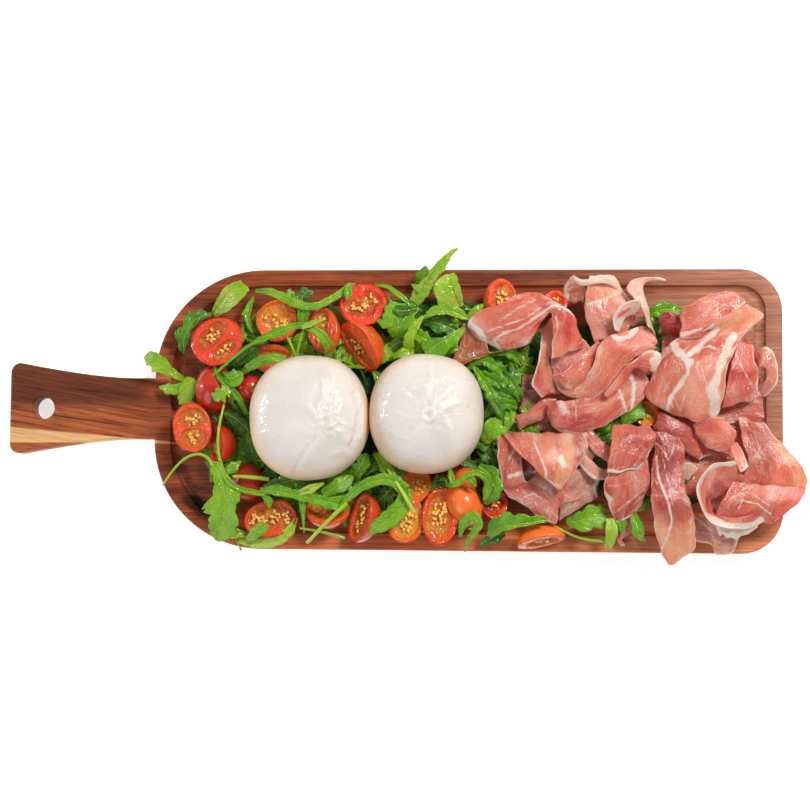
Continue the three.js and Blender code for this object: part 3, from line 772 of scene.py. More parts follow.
def seedPlaces(half, seed):
    at, faces, size, turn, ripe, pockets = half
    rng = np.random.default_rng(seed)
    facing, middle = tomatoPlacing(at, faces, turn, False)
    stand = Matrix.Translation(Vector(middle)) @ Matrix(facing.tolist()).to_4x4()
    found = []
    for across, up, long, wide, pocketTurn, count in pockets:
        lean, own = math.radians(pocketTurn - turn), math.radians(-turn)
        for i in range(count):
            angle = rng.uniform(0, 2 * math.pi)
            away = 0.74 * math.sqrt((i + 0.5) / count)
            a, b = long * away * math.cos(angle + 2.4 * i), wide * away * math.sin(angle + 2.4 * i)
            x, y = np.add(turned(across, up, own), turned(a, b, lean))
            local = Matrix.Translation((x * mm, y * mm, rng.uniform(-0.95, -0.35) * mm))
            spin = Matrix.Rotation(math.atan2(b, a) + lean + rng.normal(0, 0.5), 4, "Z")
            tilt = Matrix.Rotation(rng.normal(0, 0.35), 4, "Y")
            grown = Matrix.Scale(rng.uniform(0.8, 1.15), 4)
            found.append((stand @ local @ spin @ tilt @ grown, ripe))
    return found


def scatter(model, matrices, name):
    # one mesh with a copy of the model at each matrix
    points = places(model)
    faces = [list(face.vertices) for face in model.data.polygons]
    allPoints, allFaces = [], []
    for i, matrix in enumerate(matrices):
        m = np.array(matrix)
        allPoints.append(points @ m[:3, :3].T + m[:3, 3])
        allFaces += [[v + i * len(points) for v in face] for face in faces]
    mesh = bpy.data.meshes.new(name)
    mesh.from_pydata(np.concatenate(allPoints).tolist(), [], allFaces)
    piece = bpy.data.objects.new(name, mesh)
    bpy.context.collection.objects.link(piece)
    bpy.data.objects.remove(model)
    return piece


def makeTomato(index, half, fleshAndSkin):
    at, faces, size, turn, ripe, pockets = half
    piece = newBall(f"tomatoHalf{index:02d}", tomato["segments"], tomato["rings"])
    points, gel, rim = tomatoShape(places(piece), size, turn, pockets, index)
    facing, middle = tomatoPlacing(at, faces, turn, size[2] < 0)
    place(piece, points @ facing.T + middle)
    keep(piece, "gel", gel)
    keep(piece, "rim", rim)
    keep(piece, "ripe", np.full(len(gel), ripe))
    smooth(piece)
    cover(piece, fleshAndSkin)
    serve(piece, "tomato", f"tomato_{index:02d}")


def makeSeeds():
    model = newBall("seedModel", 8, 6)
    points = places(model)
    points[:, 1] *= tomato["seedWide"] * (1 - 0.35 * points[:, 0])  # pointed at one end
    points[:, 0] *= tomato["seedLong"]
    points[:, 2] *= tomato["seedThick"]
    place(model, points)
    found = [seed for i, half in enumerate(halves, 40) for seed in seedPlaces(half, i)]
    seeds = scatter(model, [matrix for matrix, ripe in found], "tomatoSeeds")
    keep(seeds, "ripe", np.repeat([ripe for matrix, ripe in found], len(points)))
    keep(seeds, "tone", np.repeat(np.random.default_rng(5).uniform(0, 1, len(found)), len(points)))
    smooth(seeds)
    cover(seeds, wetSeed())
    serve(seeds, "tomato")


def wetTomato():
    material = startMaterial("wetTomato", Roughness=0.35, Subsurface_Weight=0.1, Subsurface_Scale=0.003,
                             Subsurface_Radius=(1.0, 0.35, 0.15), Specular_IOR_Level=0.3, Coat_Weight=0.85,
                             Coat_Roughness=0.05, Coat_IOR=1.42)
    ripe, gel, rim = (carried(name) for name in ("ripe", "gel", "rim"))
    cloud = speckle(130, 3, 0.55)
    patches = mask(cloud, 0.42, 0.62)
    skin = mixed(ripe, (1.0, 0.225, 0.028), (0.46, 0.012, 0.006))
    skin = mixed(times(patches, 0.35), skin, (0.78, 0.075, 0.008))
    dots = mask(speckle(1500, 1), 0.66, 0.74)
    skin = mixed(times(dots, 0.25), skin, (0.90, 0.40, 0.14))
    flesh = mixed(ripe, (0.90, 0.17, 0.008), (0.82, 0.026, 0.005))
    flesh = mixed(times(patches, 0.5), flesh, (0.95, 0.080, 0.010))
    threads = mask(speckle(700, 2, 0.6), 0.5, 0.7)
    flesh = mixed(times(threads, 0.12), flesh, (0.86, 0.22, 0.05))
    juice = mixed(ripe, (0.80, 0.31, 0.022), (0.50, 0.045, 0.006))
    juice = mixed(times(mask(cloud, 0.48, 0.66), 0.6), juice, (0.74, 0.32, 0.022))
    inner = mixed(gel, flesh, juice)
    # the flesh and the gel are uneven, the skin hardly
    inside = plus(minus(1.0, rim), 0.1)
    rough = times(plus(speckle(900, 3, 0.6), speckle(360, 1)), inside)
    film = times(speckle(220, 1), inside)
    shade(Base_Color=mixed(rim, inner, skin), Normal=bump(rough, 0.0012, 0.9), Coat_Normal=bump(film, 0.0024))
    return material


def wetSeed():
    material = startMaterial("wetSeed", Roughness=0.3, Subsurface_Weight=0.3, Subsurface_Scale=0.001,
                             Subsurface_Radius=(1.0, 0.6, 0.25), Coat_Weight=0.6, Coat_Roughness=0.08)
    tone = mixed(carried("tone"), (0.90, 0.44, 0.045), (0.92, 0.62, 0.14))
    tone = mixed(times(carried("ripe"), 0.3), tone, (0.80, 0.28, 0.030))
    shade(Base_Color=tone, Normal=bump(speckle(2500, 2), 0.0001, 0.4))
    return material


fleshAndSkin = wetTomato()
for index, half in enumerate(halves, 1):
    makeTomato(index, half, fleshAndSkin)
makeSeeds()
print("tomatoes made")

# Ham slices: how far the middle bows up, the look, and stations along the slice, each with one edge's
# x, y, z in mm and then the other's. The look is a tone, 0 deep red to 1 pale grey, and how wide the fat
# is along the first edge, the second edge, the start and the end.
slices = [
    (5, (0.3, 0, 0.6, 2.4, 0), [(49, 53, 38, 49, 50, 36), (57, 58, 42, 55, 42, 33),
        (69, 62, 44, 67, 36, 33), (79, 67, 45, 77, 35, 35), (88, 69, 45, 87, 40, 40),
        (97, 65, 46, 93, 50, 45), (106, 60, 49, 99, 56, 52), (113, 53, 46, 100, 48, 50),
        (117, 43, 42, 100, 39, 46), (118, 36, 39, 99, 28, 43)]),
    (0, (0.3, 0, 0.6, 0, 0), [(46, 52, 33, 54, 47, 33), (45, 43, 31, 60, 40, 33), (40, 29, 30, 62, 34, 33),
        (45, 26, 30, 71, 36, 33)]),
    (0, (0.3, 1.6, 0, 0, 0), [(93, 46, 34, 100, 54, 37), (93, 37, 38, 100, 39, 38),
        (91, 26, 38, 98, 28, 36), (88, 14, 36, 102, 21, 32), (93, 7, 32, 108, 10, 31)]),
    (2, (0.4, 0, 0, 0, 0), [(104, 6, 28, 98, -1, 29), (94, 5, 31, 96, -6, 28), (85, -2, 31, 88, -9, 27),
        (76, -5, 29, 81, -13, 26)]),
    (1, (0.2, 0, 0, 0, 0), [(82, 21, 24, 80, -13, 23), (96, 22, 24, 96, -14, 23),
        (114, 28, 26, 114, -15, 24), (132, 34, 27, 132, -10, 24), (150, 41, 27, 151, 2, 24),
        (162, 42, 26, 160, 7, 24)]),
    (2, (0.25, 0.8, 0, 0, 0), [(127, 40, 39, 129, 38, 36), (121, 34, 42, 126, 31, 38),
        (113, 26, 43, 123, 22, 39), (106, 21, 42, 117, 15, 40), (100, 19, 38, 112, 9, 37)]),
    (1, (0.3, 0.8, 0, 0, 0), [(98, 25, 32, 109, 31, 33), (102, 14, 34, 114, 21, 36),
        (109, 7, 36, 118, 16, 39), (123, 5, 38, 121, 20, 41), (131, 10, 41, 125, 27, 44),
        (139, 20, 43, 127, 36, 45), (148, 29, 45, 134, 42, 45), (158, 34, 44, 143, 45, 44),
        (163, 40, 41, 155, 49, 41)]),
    (3, (0.55, 0, 0, 4.5, 0), [(122, 80, 31, 138, 81, 29), (121, 72, 36, 141, 72, 35),
        (119, 63, 39, 147, 63, 38), (120, 54, 39, 149, 54, 36), (123, 46, 37, 145, 47, 35),
        (126, 40, 35, 137, 42, 34)]),
    (2, (0.5, 0, 0, 4, 0), [(108, 76, 26, 106, 67, 24), (112, 80, 32, 113, 64, 27),
        (117, 78, 34, 117, 65, 28), (120, 75, 33, 119, 64, 29)]),
    (1, (0.95, 0.8, 0, 9, 0), [(169, 79, 24, 169, 78, 24), (163, 80, 28, 162, 78, 27),
        (155, 79, 34, 156, 76, 32), (147, 76, 40, 154, 71, 38), (144, 70, 44, 155, 66, 42),
        (150, 63, 48, 157, 60, 45), (154, 56, 48, 158, 53, 45), (156, 49, 46, 161, 43, 42)]),
    (0, (0.4, 5, 0, 0, 0), [(152, 63, 52, 152, 57, 45), (146, 62, 53, 147, 55, 43),
        (139, 58, 52, 143, 52, 42), (136, 53, 49, 141, 47, 41), (137, 46, 45, 142, 45, 41)]),
    (3, (0.3, 0, 1, 1, 0), [(98, 3, 35, 97, -2, 33), (105, 4, 38, 102, -13, 35), (114, 5, 38, 114, -18, 36),
        (126, 8, 39, 126, -13, 37), (135, 17, 39, 138, -7, 37), (144, 26, 40, 152, 3, 36),
        (153, 31, 39, 158, 12, 36)]),
    (2, (0.35, 0.8, 0, 0, 6), [(131, 8, 44, 133, 5, 43), (139, 18, 47, 142, 14, 45),
        (149, 28, 50, 149, 23, 47), (157, 33, 52, 155, 21, 47), (164, 31, 51, 162, 21, 47)]),
    (3, (0.45, 0, 1, 0, 0), [(196, 50, 53, 214, 61, 52), (190, 46, 50, 224, 55, 48),
        (183, 43, 46, 217, 47, 48), (173, 40, 45, 209, 37, 48), (165, 33, 43, 203, 23, 48),
        (159, 19, 41, 201, 7, 46), (156, 7, 38, 198, -4, 41), (173, -4, 35, 191, -10, 37)]),
    (2, (0.4, 0, 0.8, 1.5, 0), [(214, 63, 44, 206, 54, 44), (207, 69, 45, 200, 51, 45),
        (197, 68, 46, 195, 47, 47), (187, 64, 47, 187, 41, 49), (176, 58, 44, 176, 41, 46)]),
    (5, (0.1, 0, 0, 0, 0), [(164, 56, 34, 165, 45, 31), (169, 58, 37, 171, 44, 32),
        (177, 56, 38, 179, 43, 34)]),
    (2, (0.2, 0, 1.2, 0, 0), [(212, 41, 38, 219, 37, 34), (208, 33, 40, 220, 30, 36),
        (205, 21, 42, 222, 20, 37), (202, 9, 41, 222, 12, 36), (201, 0, 37, 225, 7, 32)]),
    (1, (0.6, 1.5, 0, 0, 0), [(222, 34, 30, 222, 24, 33), (226, 37, 35, 223, 25, 36),
        (231, 34, 35, 226, 25, 36), (234, 27, 34, 228, 21, 35), (234, 18, 32, 227, 17, 34),
        (232, 12, 28, 225, 13, 30), (227, 7, 25, 223, 10, 27)]),
    (3, (0.2, 0.8, 1.2, 0, 0), [(183, -10, 35, 188, -20, 34), (190, -7, 39, 193, -24, 37),
        (198, -5, 42, 199, -26, 39), (205, -10, 42, 206, -24, 39), (209, -14, 39, 208, -19, 38)]),
    (2, (0.1, 0, 0, 0, 2), [(165, -2, 32, 160, -11, 31), (172, -5, 34, 165, -15, 34),
        (182, -11, 33, 173, -20, 33), (189, -19, 31, 181, -27, 31), (195, -27, 29, 189, -31, 29)]),
    (4, (0.2, 0, 0, 0, 1), [(137, -10, 38, 158, -11, 36), (135, -17, 45, 161, -17, 42),
        (134, -29, 47, 158, -27, 43), (132, -40, 45, 151, -37, 42)]),
    (4, (0.3, 1.2, 1, 0, 2), [(134, -36, 43, 156, -32, 39.5), (131, -46, 43, 158, -40, 38),
        (132, -54, 39, 157, -49, 35), (136, -63.6, 33, 152.7, -58, 31),
        (139.1, -68.3, 29, 148.7, -65.2, 28)]),
    (3, (0.2, 0.6, 0.6, 0, 0), [(160, -13, 36, 176, -17, 35), (161, -24, 38, 178, -26, 38),
        (159, -40, 39, 178, -42, 39), (159, -48, 40.5, 179, -50, 40.5), (159, -56, 42.5, 182, -58, 42),
        (161, -71, 38, 185, -73, 37), (165, -85, 32, 185, -83, 32), (170, -94, 28, 177, -91, 28)]),
    (3, (0.3, 0, 1, 0, 1), [(70.6, -16.2, 38, 120.3, -14.7, 37), (76.8, -24.2, 45, 120.8, -24.4, 41),
        (84.6, -32, 48, 117.2, -32.9, 43), (93.5, -40.3, 47, 111.3, -41.3, 44),
        (103.4, -49.8, 43, 105, -49, 42)]),
    (2, (0.2, 1, 1.2, 0, 0), [(67.6, -17.8, 35, 83.2, -17.2, 37), (67.1, -25.8, 38, 82.7, -25.8, 40),
        (68.3, -36.6, 38, 82.1, -35.9, 39), (70.1, -47.3, 36, 84.5, -44.3, 37),
        (74.3, -53.3, 34, 92.9, -39.4, 35), (82.1, -58, 33, 102.4, -38.7, 35),
        (93.6, -66.3, 32, 106.1, -48.3, 35), (102.6, -69.9, 30, 106.1, -54.2, 33)]),
    (1, (0.95, 0, 0, 0, 3), [(105, -68, 27, 103, -51, 30), (112, -63, 29, 109, -42, 33),
        (120, -58, 29, 117, -36, 34), (127, -53, 27, 129, -37, 31)]),
    (1, (0.15, 0, 0, 0, 0), [(140, -16, 24, 142, -53, 22), (155, -14, 26, 155, -53, 24),
        (177, -5, 26, 183, -52, 25), (202, -5, 26, 202, -62, 24), (228, -10, 25, 225, -65, 23)]),
    (0, (0.4, 3.6, 0, 0, 5), [(207, -32, 43, 214, -42, 36), (195, -34, 45, 208, -46, 33),
        (188, -41, 46, 200, -52, 31), (185, -51, 45, 195, -55, 29), (188, -61, 43, 196, -60, 30),
        (196, -69, 41, 197, -63, 36), (209, -72, 39, 208, -65, 40), (222, -69, 37, 220, -62, 41),
        (233, -62, 35, 229, -56, 41)]),
    (2, (0.3, 0, 0.8, 0, 2), [(211, -4, 30, 226, -9, 30), (213, -19, 35, 237, -22, 36),
        (216, -33, 37, 248, -35, 37), (210, -46, 34, 250, -46, 35), (202, -53, 30, 238, -56, 33),
        (199, -59, 28, 230, -60, 31)]),
    (0, (0.5, 0, 1.2, 0, 2), [(204, -21, 38, 210, -20, 35), (207, -30, 41, 213, -27, 39),
        (211, -38, 42, 216, -35, 42)]),
    (1, (0.85, 0, 1.5, 0, 3), [(181.4, -59.6, 29, 180.6, -79.4, 24), (186.6, -63.7, 30, 188.7, -79.9, 26),
        (192.4, -66.6, 31, 195.9, -81.6, 25), (196.5, -69, 32, 198.4, -87.6, 24),
        (202.3, -71.3, 32, 204.3, -87.8, 24), (207.8, -72.5, 31, 208.4, -85.7, 25),
        (212, -73.6, 30, 211.5, -77.2, 29)]),
    (1, (0.15, 0, 0, 0, 0), [(166, 43, 27, 162, 7, 26), (183, 48, 30, 177, -2, 28),
        (198, 50, 31, 196, -8, 28), (211, 48, 29, 214, -9, 26), (223, 36, 25, 227, -5, 23)]),
]
# Scraps that lie between the slices, numbered from 60.
scraps = [
    (0, (0.6, 0, 0.5, 0, 2), [(144, -62.3, 27, 147, -62.3, 27), (145.2, -68.3, 26, 148.8, -68.8, 26),
        (142.3, -73.7, 24, 146.5, -75.5, 24), (139.4, -78.6, 22, 142.4, -78.6, 22),
        (142, -82.8, 19, 144.4, -82.2, 19)]),
    (1, (0.45, 0, 0.6, 0, 0), [(116.7, -14.6, 36, 123.9, -13.4, 36), (121.4, -22.5, 38, 128.6, -18.8, 37),
        (126.8, -28.4, 37, 133.4, -22.9, 36), (134.1, -33.1, 34, 137.1, -25.2, 34)]),
    (1, (0.75, 2.2, 0, 1, 0), [(115, -32, 35, 119.1, -26.6, 36), (119.1, -38, 37, 123.9, -32, 37),
        (125.1, -42.8, 36, 128.7, -36.2, 36), (132.4, -43.2, 33, 134.1, -36.7, 34)]),
    (1, (0.9, 1.5, 1.5, 2, 1), [(177.2, -34.7, 37, 178, -41.7, 34), (180.6, -32.3, 39, 180.9, -42.9, 35),
        (184.2, -33.5, 38, 183.2, -40, 36), (187.3, -36.4, 36, 185.6, -38.7, 35)]),
    (0, (0.3, 0.8, 0, 0, 0), [(73.6, -29.1, 31, 97.6, -23, 33), (76, -42.4, 32, 104.8, -37.4, 34),
        (83.3, -54.4, 31, 112.1, -47, 33), (95.4, -62.7, 30, 116.9, -54.1, 32)]),
    (1, (0.4, 0, 0.7, 0, 0), [(206.7, -44.5, 38, 250.9, -46.3, 37), (202, -52.3, 40.5, 245, -56, 40),
        (198.6, -59.3, 40, 237.5, -62.8, 39), (197.6, -65, 36, 229.2, -68.8, 35)]),
    (1, (0.9, 5, 5, 0, 0), [(197.1, -68.4, 37, 197.5, -71.5, 33), (198.8, -69, 38, 199.5, -75.6, 33),
        (201.1, -69.5, 38, 201.6, -75.0, 34), (203.5, -70.1, 38, 203.8, -77.4, 33),
        (205.8, -70.4, 38, 206.6, -77, 34), (208.7, -70.6, 38, 209.6, -78.6, 33),
        (211.7, -70, 38, 212.4, -75.8, 34), (215.2, -68.8, 38, 216.6, -74.6, 35),
        (218.7, -67.6, 38, 221.7, -70.6, 37)]),
    (1, (0.9, 4, 4, 0, 0), [(111.7, 80.7, 37, 112.9, 76.8, 35), (116.5, 77.6, 38, 117.1, 73.6, 36),
        (121.8, 77.3, 40, 122.5, 73.9, 38), (127.8, 79.5, 41, 128.4, 75, 39),
        (134.9, 78.3, 41, 135, 73.7, 39), (139.8, 74.9, 39, 139.3, 71, 37)]),
    (1, (0.55, 0, 1, 0, 0), [(97.4, 34.9, 35, 116.6, 43.2, 37), (99.9, 25.2, 35, 123.8, 34.7, 37),
        (102.3, 16.2, 34, 128.6, 26.4, 36)]),
    (1, (0.5, 0, 0, 0, 0.8), [(106.5, -14.1, 37, 123.8, -16.4, 37), (107.8, -23.1, 37, 126.3, -23, 36),
        (110.2, -32.6, 35, 122.8, -34.9, 34)]),
]
# Streaks of fat, by the slices that they run over: their line, half width and strength.
streaks = {
    (1,): [
        ([(48, 51), (55, 47), (60, 40), (67, 37)], 1.6, 1),
        ([(68, 43), (81, 48), (93, 55), (100, 60), (106, 59), (113, 54)], 0.6, 1.1),
        ([(61, 46), (75, 50), (85, 54), (93, 59)], 0.5, 1), ([(69, 52), (81, 60), (90, 64)], 0.45, 0.8),
        ([(67, 36), (65, 41), (71, 45)], 0.7, 1), ([(102, 53), (103, 46), (100, 37), (100, 28)], 0.5, 0.6),
        ([(113, 34), (108, 31), (102, 30)], 0.5, 0.6),
    ],
    (12, 7): [
        ([(138, 16), (140, 10), (144, -2)], 0.9, 0.95), ([(147, 19), (149, 12), (147, -2)], 1.1, 0.95),
        ([(115, 6), (114, -8)], 0.5, 0.7),
    ],
    (12,): [([(105, 3), (107, -2)], 2.4, 0.7), ([(108, -14.7), (119, -17.6)], 1.6, 0.9)],
    (8,): [([(121, 62), (131, 65), (140, 69)], 1.0, 0.8), ([(123, 58), (134, 54), (149, 60)], 0.5, 0.5)],
    (11, 10): [([(152, 64), (148, 57), (140, 51), (137, 44)], 2.2, 1)],
    (7, 10, 11): [([(135, 44), (139, 40), (145, 42), (150, 47)], 1.6, 1)],
    (13,): [([(138, 18), (144, 24), (150, 28)], 0.6, 0.8), ([(152, 32), (159, 33), (164, 32)], 1.4, 0.9)],
    (14,): [
        ([(171, 39), (175, 42), (186, 45), (194, 48)], 1.1, 1),
        ([(171, 39), (173, 34), (178, 30), (181, 26)], 2.3, 1),
        ([(180, 25), (180, 20), (176, 14), (171, 7), (168, -2)], 1.3, 0.95),
        ([(179, 30), (185, 34), (191, 40), (197, 46)], 1.7, 0.95),
        ([(185, 34), (192, 36), (197, 34)], 0.8, 0.8),
        ([(207, 42), (203, 36), (200, 28), (197, 18), (194, 10)], 2.5, 1),
        ([(194, 11), (196, 4), (196, -3)], 3.6, 0.95), ([(188, 24), (189, 18), (193, 11)], 0.5, 0.6),
        ([(207, 41), (213, 45), (217, 49)], 0.7, 0.7), ([(179, 9), (176, -2)], 0.4, 0.5),
    ],
    (15,): [
        ([(176, 43), (181, 44), (187, 46)], 1.3, 0.9), ([(198, 68), (197, 58), (197, 48)], 0.5, 0.6),
        ([(181, 54), (184, 49)], 0.5, 0.5),
    ],
    (17,): [([(208, 33), (214, 21), (218, 14)], 0.5, 0.6)],
    (24,): [
        ([(89, -21), (93, -30), (96, -38), (97, -45)], 0.6, 0.85),
        ([(102, -20), (101, -29), (101, -38)], 0.5, 0.6), ([(105, -31), (107, -35)], 1.9, 1),
        ([(98, -44), (102, -47.5), (105, -47)], 0.8, 0.8),
    ],
    (25,): [
        ([(74, -32), (77, -26), (83, -18), (98, -14)], 0.5, 0.8),
        ([(74, -42), (83, -39), (92, -38)], 1.2, 0.9), ([(83, -54), (89, -52), (98, -57)], 0.5, 0.7),
        ([(79, -45), (87, -56)], 0.4, 0.5),
    ],
    (21,): [
        ([(132, -38.4), (141, -38.6), (150, -37.2), (154, -33)], 1.2, 1),
        ([(154, -34), (159, -27)], 1.6, 0.95), ([(141, -26), (152, -29)], 0.4, 0.5),
    ],
    (22,): [
        ([(132, -52), (134, -55)], 1.6, 1), ([(134, -47), (143, -46), (150, -41)], 0.5, 0.6),
        ([(139, -62), (147, -55), (155, -49)], 0.5, 0.7),
    ],
    (23,): [
        ([(162, -29), (163, -42), (168, -55), (171, -67), (169, -76), (164, -86)], 0.7, 0.9),
        ([(166, -31), (169, -46), (171, -58)], 0.45, 0.6), ([(159, -19), (164, -23), (169, -31)], 0.5, 0.6),
        ([(159, -52), (171, -53), (178, -50)], 0.5, 0.4),
    ],
    (28,): [([(193, -65), (203, -71), (216, -70), (228, -66)], 2.2, 1)],
    (65,): [
        ([(210, -60), (212, -55), (221, -57), (229, -63)], 0.6, 0.85),
        ([(203, -56), (211, -51), (218, -51), (228, -58)], 0.5, 0.6),
    ],
    (64,): [([(77, -42), (87, -39), (96, -37)], 1.0, 0.8)],
    (29,): [([(238, -13), (244, -22), (249, -32)], 1.5, 0.7)],
    (27,): [([(117, -42), (129, -37), (141, -39)], 1.2, 0.7)],
    (31,): [([(185, -64), (190, -69), (195, -73)], 0.8, 0.7)],
}
# Tints: amber where a slice is thin and creamy, clear or brown where what is below shows, deep where it is
# dark. Each: the slices, the line, half width and strength.
tints = {
    "amber": [
        ((24,), [(108.8, -18.7), (109.4, -30.6), (104.7, -46.1)], 4.2, 0.95),
        ((24,), [(97.6, -19.9), (100.6, -31.8)], 3, 0.45),
        ((23,), [(166.8, -71.6), (173.9, -79.9), (182.2, -76.3)], 9, 0.95),
        ((23,), [(173.9, -79.9), (177.5, -90)], 9, 0.95),
        ((23,), [(173.5, -37.1), (175.8, -54.9), (179.3, -63.8)], 4, 0.5),
        ((29,), [(238.5, -22.4), (244.9, -34.2), (248.3, -46)], 5.5, 0.95),
        ((14,), [(199.7, 48.9), (212.5, 54.8), (221.9, 53.6)], 6, 0.75),
        ((14,), [(196.2, 63.2), (207.3, 52.5)], 4, 0.4),
        ((14,), [(179.4, 9.3), (187.6, 2.2), (194.7, 4.6)], 7, 0.6),
        ((12, 7), [(101.6, 21.3), (108.2, 14.1), (116.6, 10.5)], 4, 0.45),
        ((3,), [(97.4, 37.8), (96.2, 25.7), (98.7, 13.6)], 3, 0.3),
        ((8,), [(121.4, 71.3), (131, 70), (140.6, 71.2)], 4, 0.7),
        ((29,), [(214, -33), (236, -40)], 7, 0.4), ((28, 31), [(208.6, -66.5), (213.9, -61.7)], 4, 0.35),
    ],
    "clear": [
        ((24,), [(119.1, -17.1), (117.8, -26.8)], 5, 0.8),
        ((69,), [(107.8, -14.1), (119.1, -32.6)], 12, 0.9), ((9,), [(121.4, 76), (119, 66)], 4, 0.5),
        ((15,), [(180, 54), (205, 60)], 14, 0.45), ((5,), [(81.7, 18.8), (84.2, 5.3), (83, -9.3)], 9, 0.95),
        ((5,), [(95.8, -3.8), (104.9, -9.9)], 7, 0.8),
        ((26,), [(108.6, -60.2), (119.9, -52.3), (128.9, -46.2)], 12, 0.75),
        ((29,), [(219, -9.8), (224.8, -18.7), (221.8, -27.7)], 8, 0.7),
        ((9,), [(108.3, 72.4), (114.3, 71.1)], 8, 0.9), ((31,), [(188.6, -72.7), (201.7, -81.5)], 8, 0.6),
        ((18,), [(229.9, 26.3), (228.7, 14.3)], 5, 0.5),
    ],
    # deep: partly darker meat and partly painted shade, in the folds, in the curl's hollow and on pieces
    # tucked under other slices
    "deep": [
        ((68,), [(99.9, 25.2), (110, 20)], 5, 0.4), ((64,), [(79.6, -30.4), (89.3, -36.3)], 6, 0.85),
        ((64,), [(80.8, -37.6), (95.9, -43.5)], 5, 0.6),
        ((23,), [(165, -14), (169, -26), (172, -36)], 11, 0.6),
        ((23,), [(168, -19), (168.5, -38)], 7, 0.95), ((23,), [(170, -42), (172, -60)], 12, 0.7),
        ((22,), [(159, -48.5), (151.4, -52.1), (143, -63.5)], 0.9, 0.9),
        ((22,), [(155, -54), (147.8, -59.9), (142, -66)], 0.8, 0.8),
        ((29,), [(222, -20), (222, -38)], 9, 0.6), ((29,), [(236, -24), (247, -42)], 9, 0.3),
        ((65,), [(205, -55), (245, -55)], 16, 0.3), ((14,), [(170, 28), (172, 10)], 9, 0.3),
        ((29,), [(210, -22), (219, -29)], 7, 0.3), ((16,), [(165.7, 53.2), (172.9, 50.1)], 9, 1),
        ((19, 20), [(169.3, -4), (177.6, -10)], 6, 0.75), ((29,), [(201.1, -48.7), (205.8, -54.6)], 6, 0.8),
        ((28,), [(198.3, -45.8), (201.8, -51.8)], 3.5, 0.8),
        ((25,), [(73.7, -28.8), (73.2, -37.8)], 2.5, 0.35),
        ((21, 22), [(145, -19.6), (152.1, -22.5), (156.8, -19.5)], 4, 0.5),
        ((23,), [(164, -14.6), (166.4, -22.3)], 5, 0.5), ((14,), [(163.9, 37.2), (166.3, 28.3)], 4, 0.45),
        ((17,), [(208.3, 19.6), (217.1, 13.6)], 5, 0.35), ((1,), [(92.5, 63.8), (102.1, 56.6)], 3, 0.35),
        ((8,), [(130.9, 49.7), (138, 46.7)], 4, 0.4),
    ],
    "brown": [
        ((2,), [(49.9, 46), (49.9, 32), (62.2, 33)], 20, 0.95), ((9,), [(121.4, 76), (119, 66)], 6, 0.3),
    ],
}
ham = {
    "thickness": 0.4 * mm,
    "rowStep": 0.85 * mm,
    "columnStep": 0.65 * mm,
    "bowShare": 0.6,
    "creases": 0.3 * mm,  # long folds with sharp valleys
    "creaseWidth": 6.4 * mm,
    "crossWidth": 9 * mm,
    "drape": 0.8 * mm,  # slow unevenness
    "drapeSize": 24 * mm,
    "frill": 0.45 * mm,  # waves of the edges
    "frillLength": 2.3 * mm,
    "frillReach": 4.5 * mm,
    "raggedness": 0.3 * mm,
    "raggedEnds": 0.7 * mm,
    "endReach": 4 * mm,
}


def smoothLine(points, count):
    # a Catmull-Rom curve through the points
    points = np.array(points, dtype=float)
    padded = np.concatenate([[2 * points[0] - points[1]], points, [2 * points[-1] - points[-2]]])
    at = np.linspace(0, len(points) - 1, count)
    i = np.minimum(at.astype(int), len(points) - 2)
    t = (at - i)[:, None]
    a, b, c, d = (padded[i + k] for k in range(4))
    square, cube = 2 * a - 5 * b + 4 * c - d, 3 * b - a - 3 * c + d
    return 0.5 * (2 * b + (c - a) * t + square * t ** 2 + cube * t ** 3)


def lengths(points):
    steps = np.linalg.norm(np.diff(points, axis=0), axis=1)
    return np.concatenate([[0], np.cumsum(steps)])


def gridNormals(grid):
    normals = np.cross(np.gradient(grid, axis=0), np.gradient(grid, axis=1))
    return normals / np.maximum(np.linalg.norm(normals, axis=2), 1e-12)[..., None]


def newSheet(name, grid, across, along):
    # a grid primitive with its points at grid, and a map that holds metres along and across
    rows, columns = grid.shape[:2]
    deselectAll()
    bpy.ops.mesh.primitive_grid_add(x_subdivisions=columns - 1, y_subdivisions=rows - 1, size=1)
    sheet = newest(name)
    place(sheet, grid.reshape(-1, 3))
    corners = np.empty(len(sheet.data.loops), dtype=np.int32)
    sheet.data.loops.foreach_get("vertex_index", corners)
    flat = np.stack([along.ravel(), across.ravel()], axis=1)[corners]
    sheet.data.uv_layers[0].name = "lay"
    sheet.data.uv_layers[0].uv.foreach_set("vector", flat.astype(np.float32).ravel())
    return sheet


def strokesOver(grid, wanted, rough=1):
    # how much of the wanted strokes covers each point of a slice, 0 to 1
    plan = grid.reshape(-1, 3)[:, :2]
    covered = np.zeros(grid.shape[:2])
    for line, breadth, strength in wanted:
        far = nearStroke(plan, line).reshape(covered.shape) / (breadth * mm * rough)
        covered = np.maximum(covered, strength * eased(1.5 - far))
    return covered


def fatOf(index, grid, share, along, wide, look):
    # how much fat shows at each point of a slice, 0 to 1
    first, second, start, end = look[1:]
    rough = 1 + 0.5 * waves(grid.reshape(-1, 3), 9 * mm, index + 70, 3).reshape(share.shape)
    fat = np.zeros(share.shape)
    edges = (first, share * wide), (second, (1 - share) * wide), (start, along), (end, along[-1, 0] - along)
    for breadth, inward in edges:
        if breadth:
            reach = breadth * mm * rough
            strength = min(1, 0.45 + breadth / 6)
            fat = np.maximum(fat, strength * eased((reach * 1.25 - inward) / (0.6 * reach + 0.3 * mm)))
    marks = [mark for numbers, found in streaks.items() if index in numbers for mark in found]
    return np.maximum(fat, strokesOver(grid, marks, rough))


def sharp(angle):
    # a wave with rounded tops and sharp valleys, from -1 to 1
    return 2 * np.sqrt(np.sin(angle) ** 2 + 0.01) - 1


